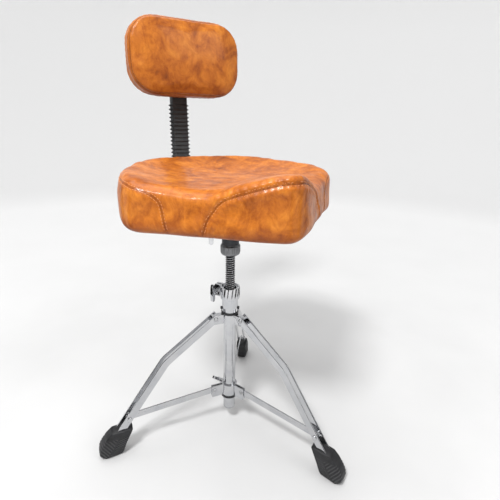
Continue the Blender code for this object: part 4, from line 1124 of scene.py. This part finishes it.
def area_light(name, azimuth, elevation, distance, size, power, target=0.35):
    a, e = math.radians(azimuth), math.radians(elevation)
    aim = POST + Vector((0.0, 0.0, target))
    place = aim + Vector((math.cos(a) * math.cos(e), math.sin(a) * math.cos(e),
                          math.sin(e))) * distance
    data = bpy.data.lights.new(name, "AREA")
    data.shape = "RECTANGLE"
    data.size, data.size_y = size
    data.energy = power
    lamp = bpy.data.objects.new(name, data)
    bpy.context.scene.collection.objects.link(lamp)
    lamp.location = place
    lamp.rotation_euler = (aim - place).to_track_quat("-Z", "Y").to_euler()


def studio():
    world = bpy.data.worlds.new("studio")
    bpy.context.scene.world = world
    world.use_nodes = True
    back = world.node_tree.nodes["Background"]
    back.inputs["Color"].default_value = (1.0, 1.0, 1.0, 1.0)
    back.inputs["Strength"].default_value = 0.60
    area_light("key", 215.0, 54.0, 2.2, (0.44, 0.32), 47.0)
    area_light("fill", 300.0, 36.0, 2.4, (0.8, 1.2), 9.0)
    area_light("top", 100.0, 78.0, 2.4, (1.8, 1.4), 30.0)
    for index, (azimuth, width) in enumerate(((-92.0, 0.13), (-143.0, 0.14), (173.0, 0.24),
                                              (132.0, 0.20), (87.0, 0.26), (38.0, 0.28),
                                              (-8.0, 0.20), (-48.0, 0.24))):
        flag(f"flag_{index + 1}", azimuth, 0.62, width, 0.56, 0.30)


CAMERA_BACK = 0.7042            # from the post's axis
CAMERA_HEIGHT = 0.6605
CAMERA_AZIMUTH = -117.0         # from the post to the camera
LOOK_AZIMUTH = 59.923
LOOK_DOWN = 19.145
ROLL = 1.489
FOCAL = 386.0 / 500.0           # focal length over the width of the picture


def camera():
    side = math.radians(CAMERA_AZIMUTH)
    look, down, roll = (math.radians(x) for x in (LOOK_AZIMUTH, LOOK_DOWN, ROLL))
    forward = Vector((math.cos(look) * math.cos(down), math.sin(look) * math.cos(down),
                      -math.sin(down)))
    level = Vector((math.sin(look), -math.cos(look), 0.0))
    up = level.cross(forward)
    right = level * math.cos(roll) + up * math.sin(roll)
    top = up * math.cos(roll) - level * math.sin(roll)
    data = bpy.data.cameras.new("camera")
    data.sensor_width = 36.0
    data.lens = 36.0 * FOCAL
    data.clip_start = 0.02
    made = bpy.data.objects.new("camera", data)
    bpy.context.scene.collection.objects.link(made)
    turn = Matrix((right, top, -forward)).transposed().to_4x4()
    place = POST + Vector((math.cos(side) * CAMERA_BACK, math.sin(side) * CAMERA_BACK,
                           CAMERA_HEIGHT))
    made.matrix_world = Matrix.Translation(place) @ turn
    bpy.context.scene.camera = made
    bpy.context.scene.view_settings.view_transform = "Standard"


camera()
studio()
floor()
finish_saddle(saddle())
backrest_pad()
bellows()
spindle()
grip_collar()
for leg in LEG_AZIMUTHS:
    boot(leg)
dress_nodes()
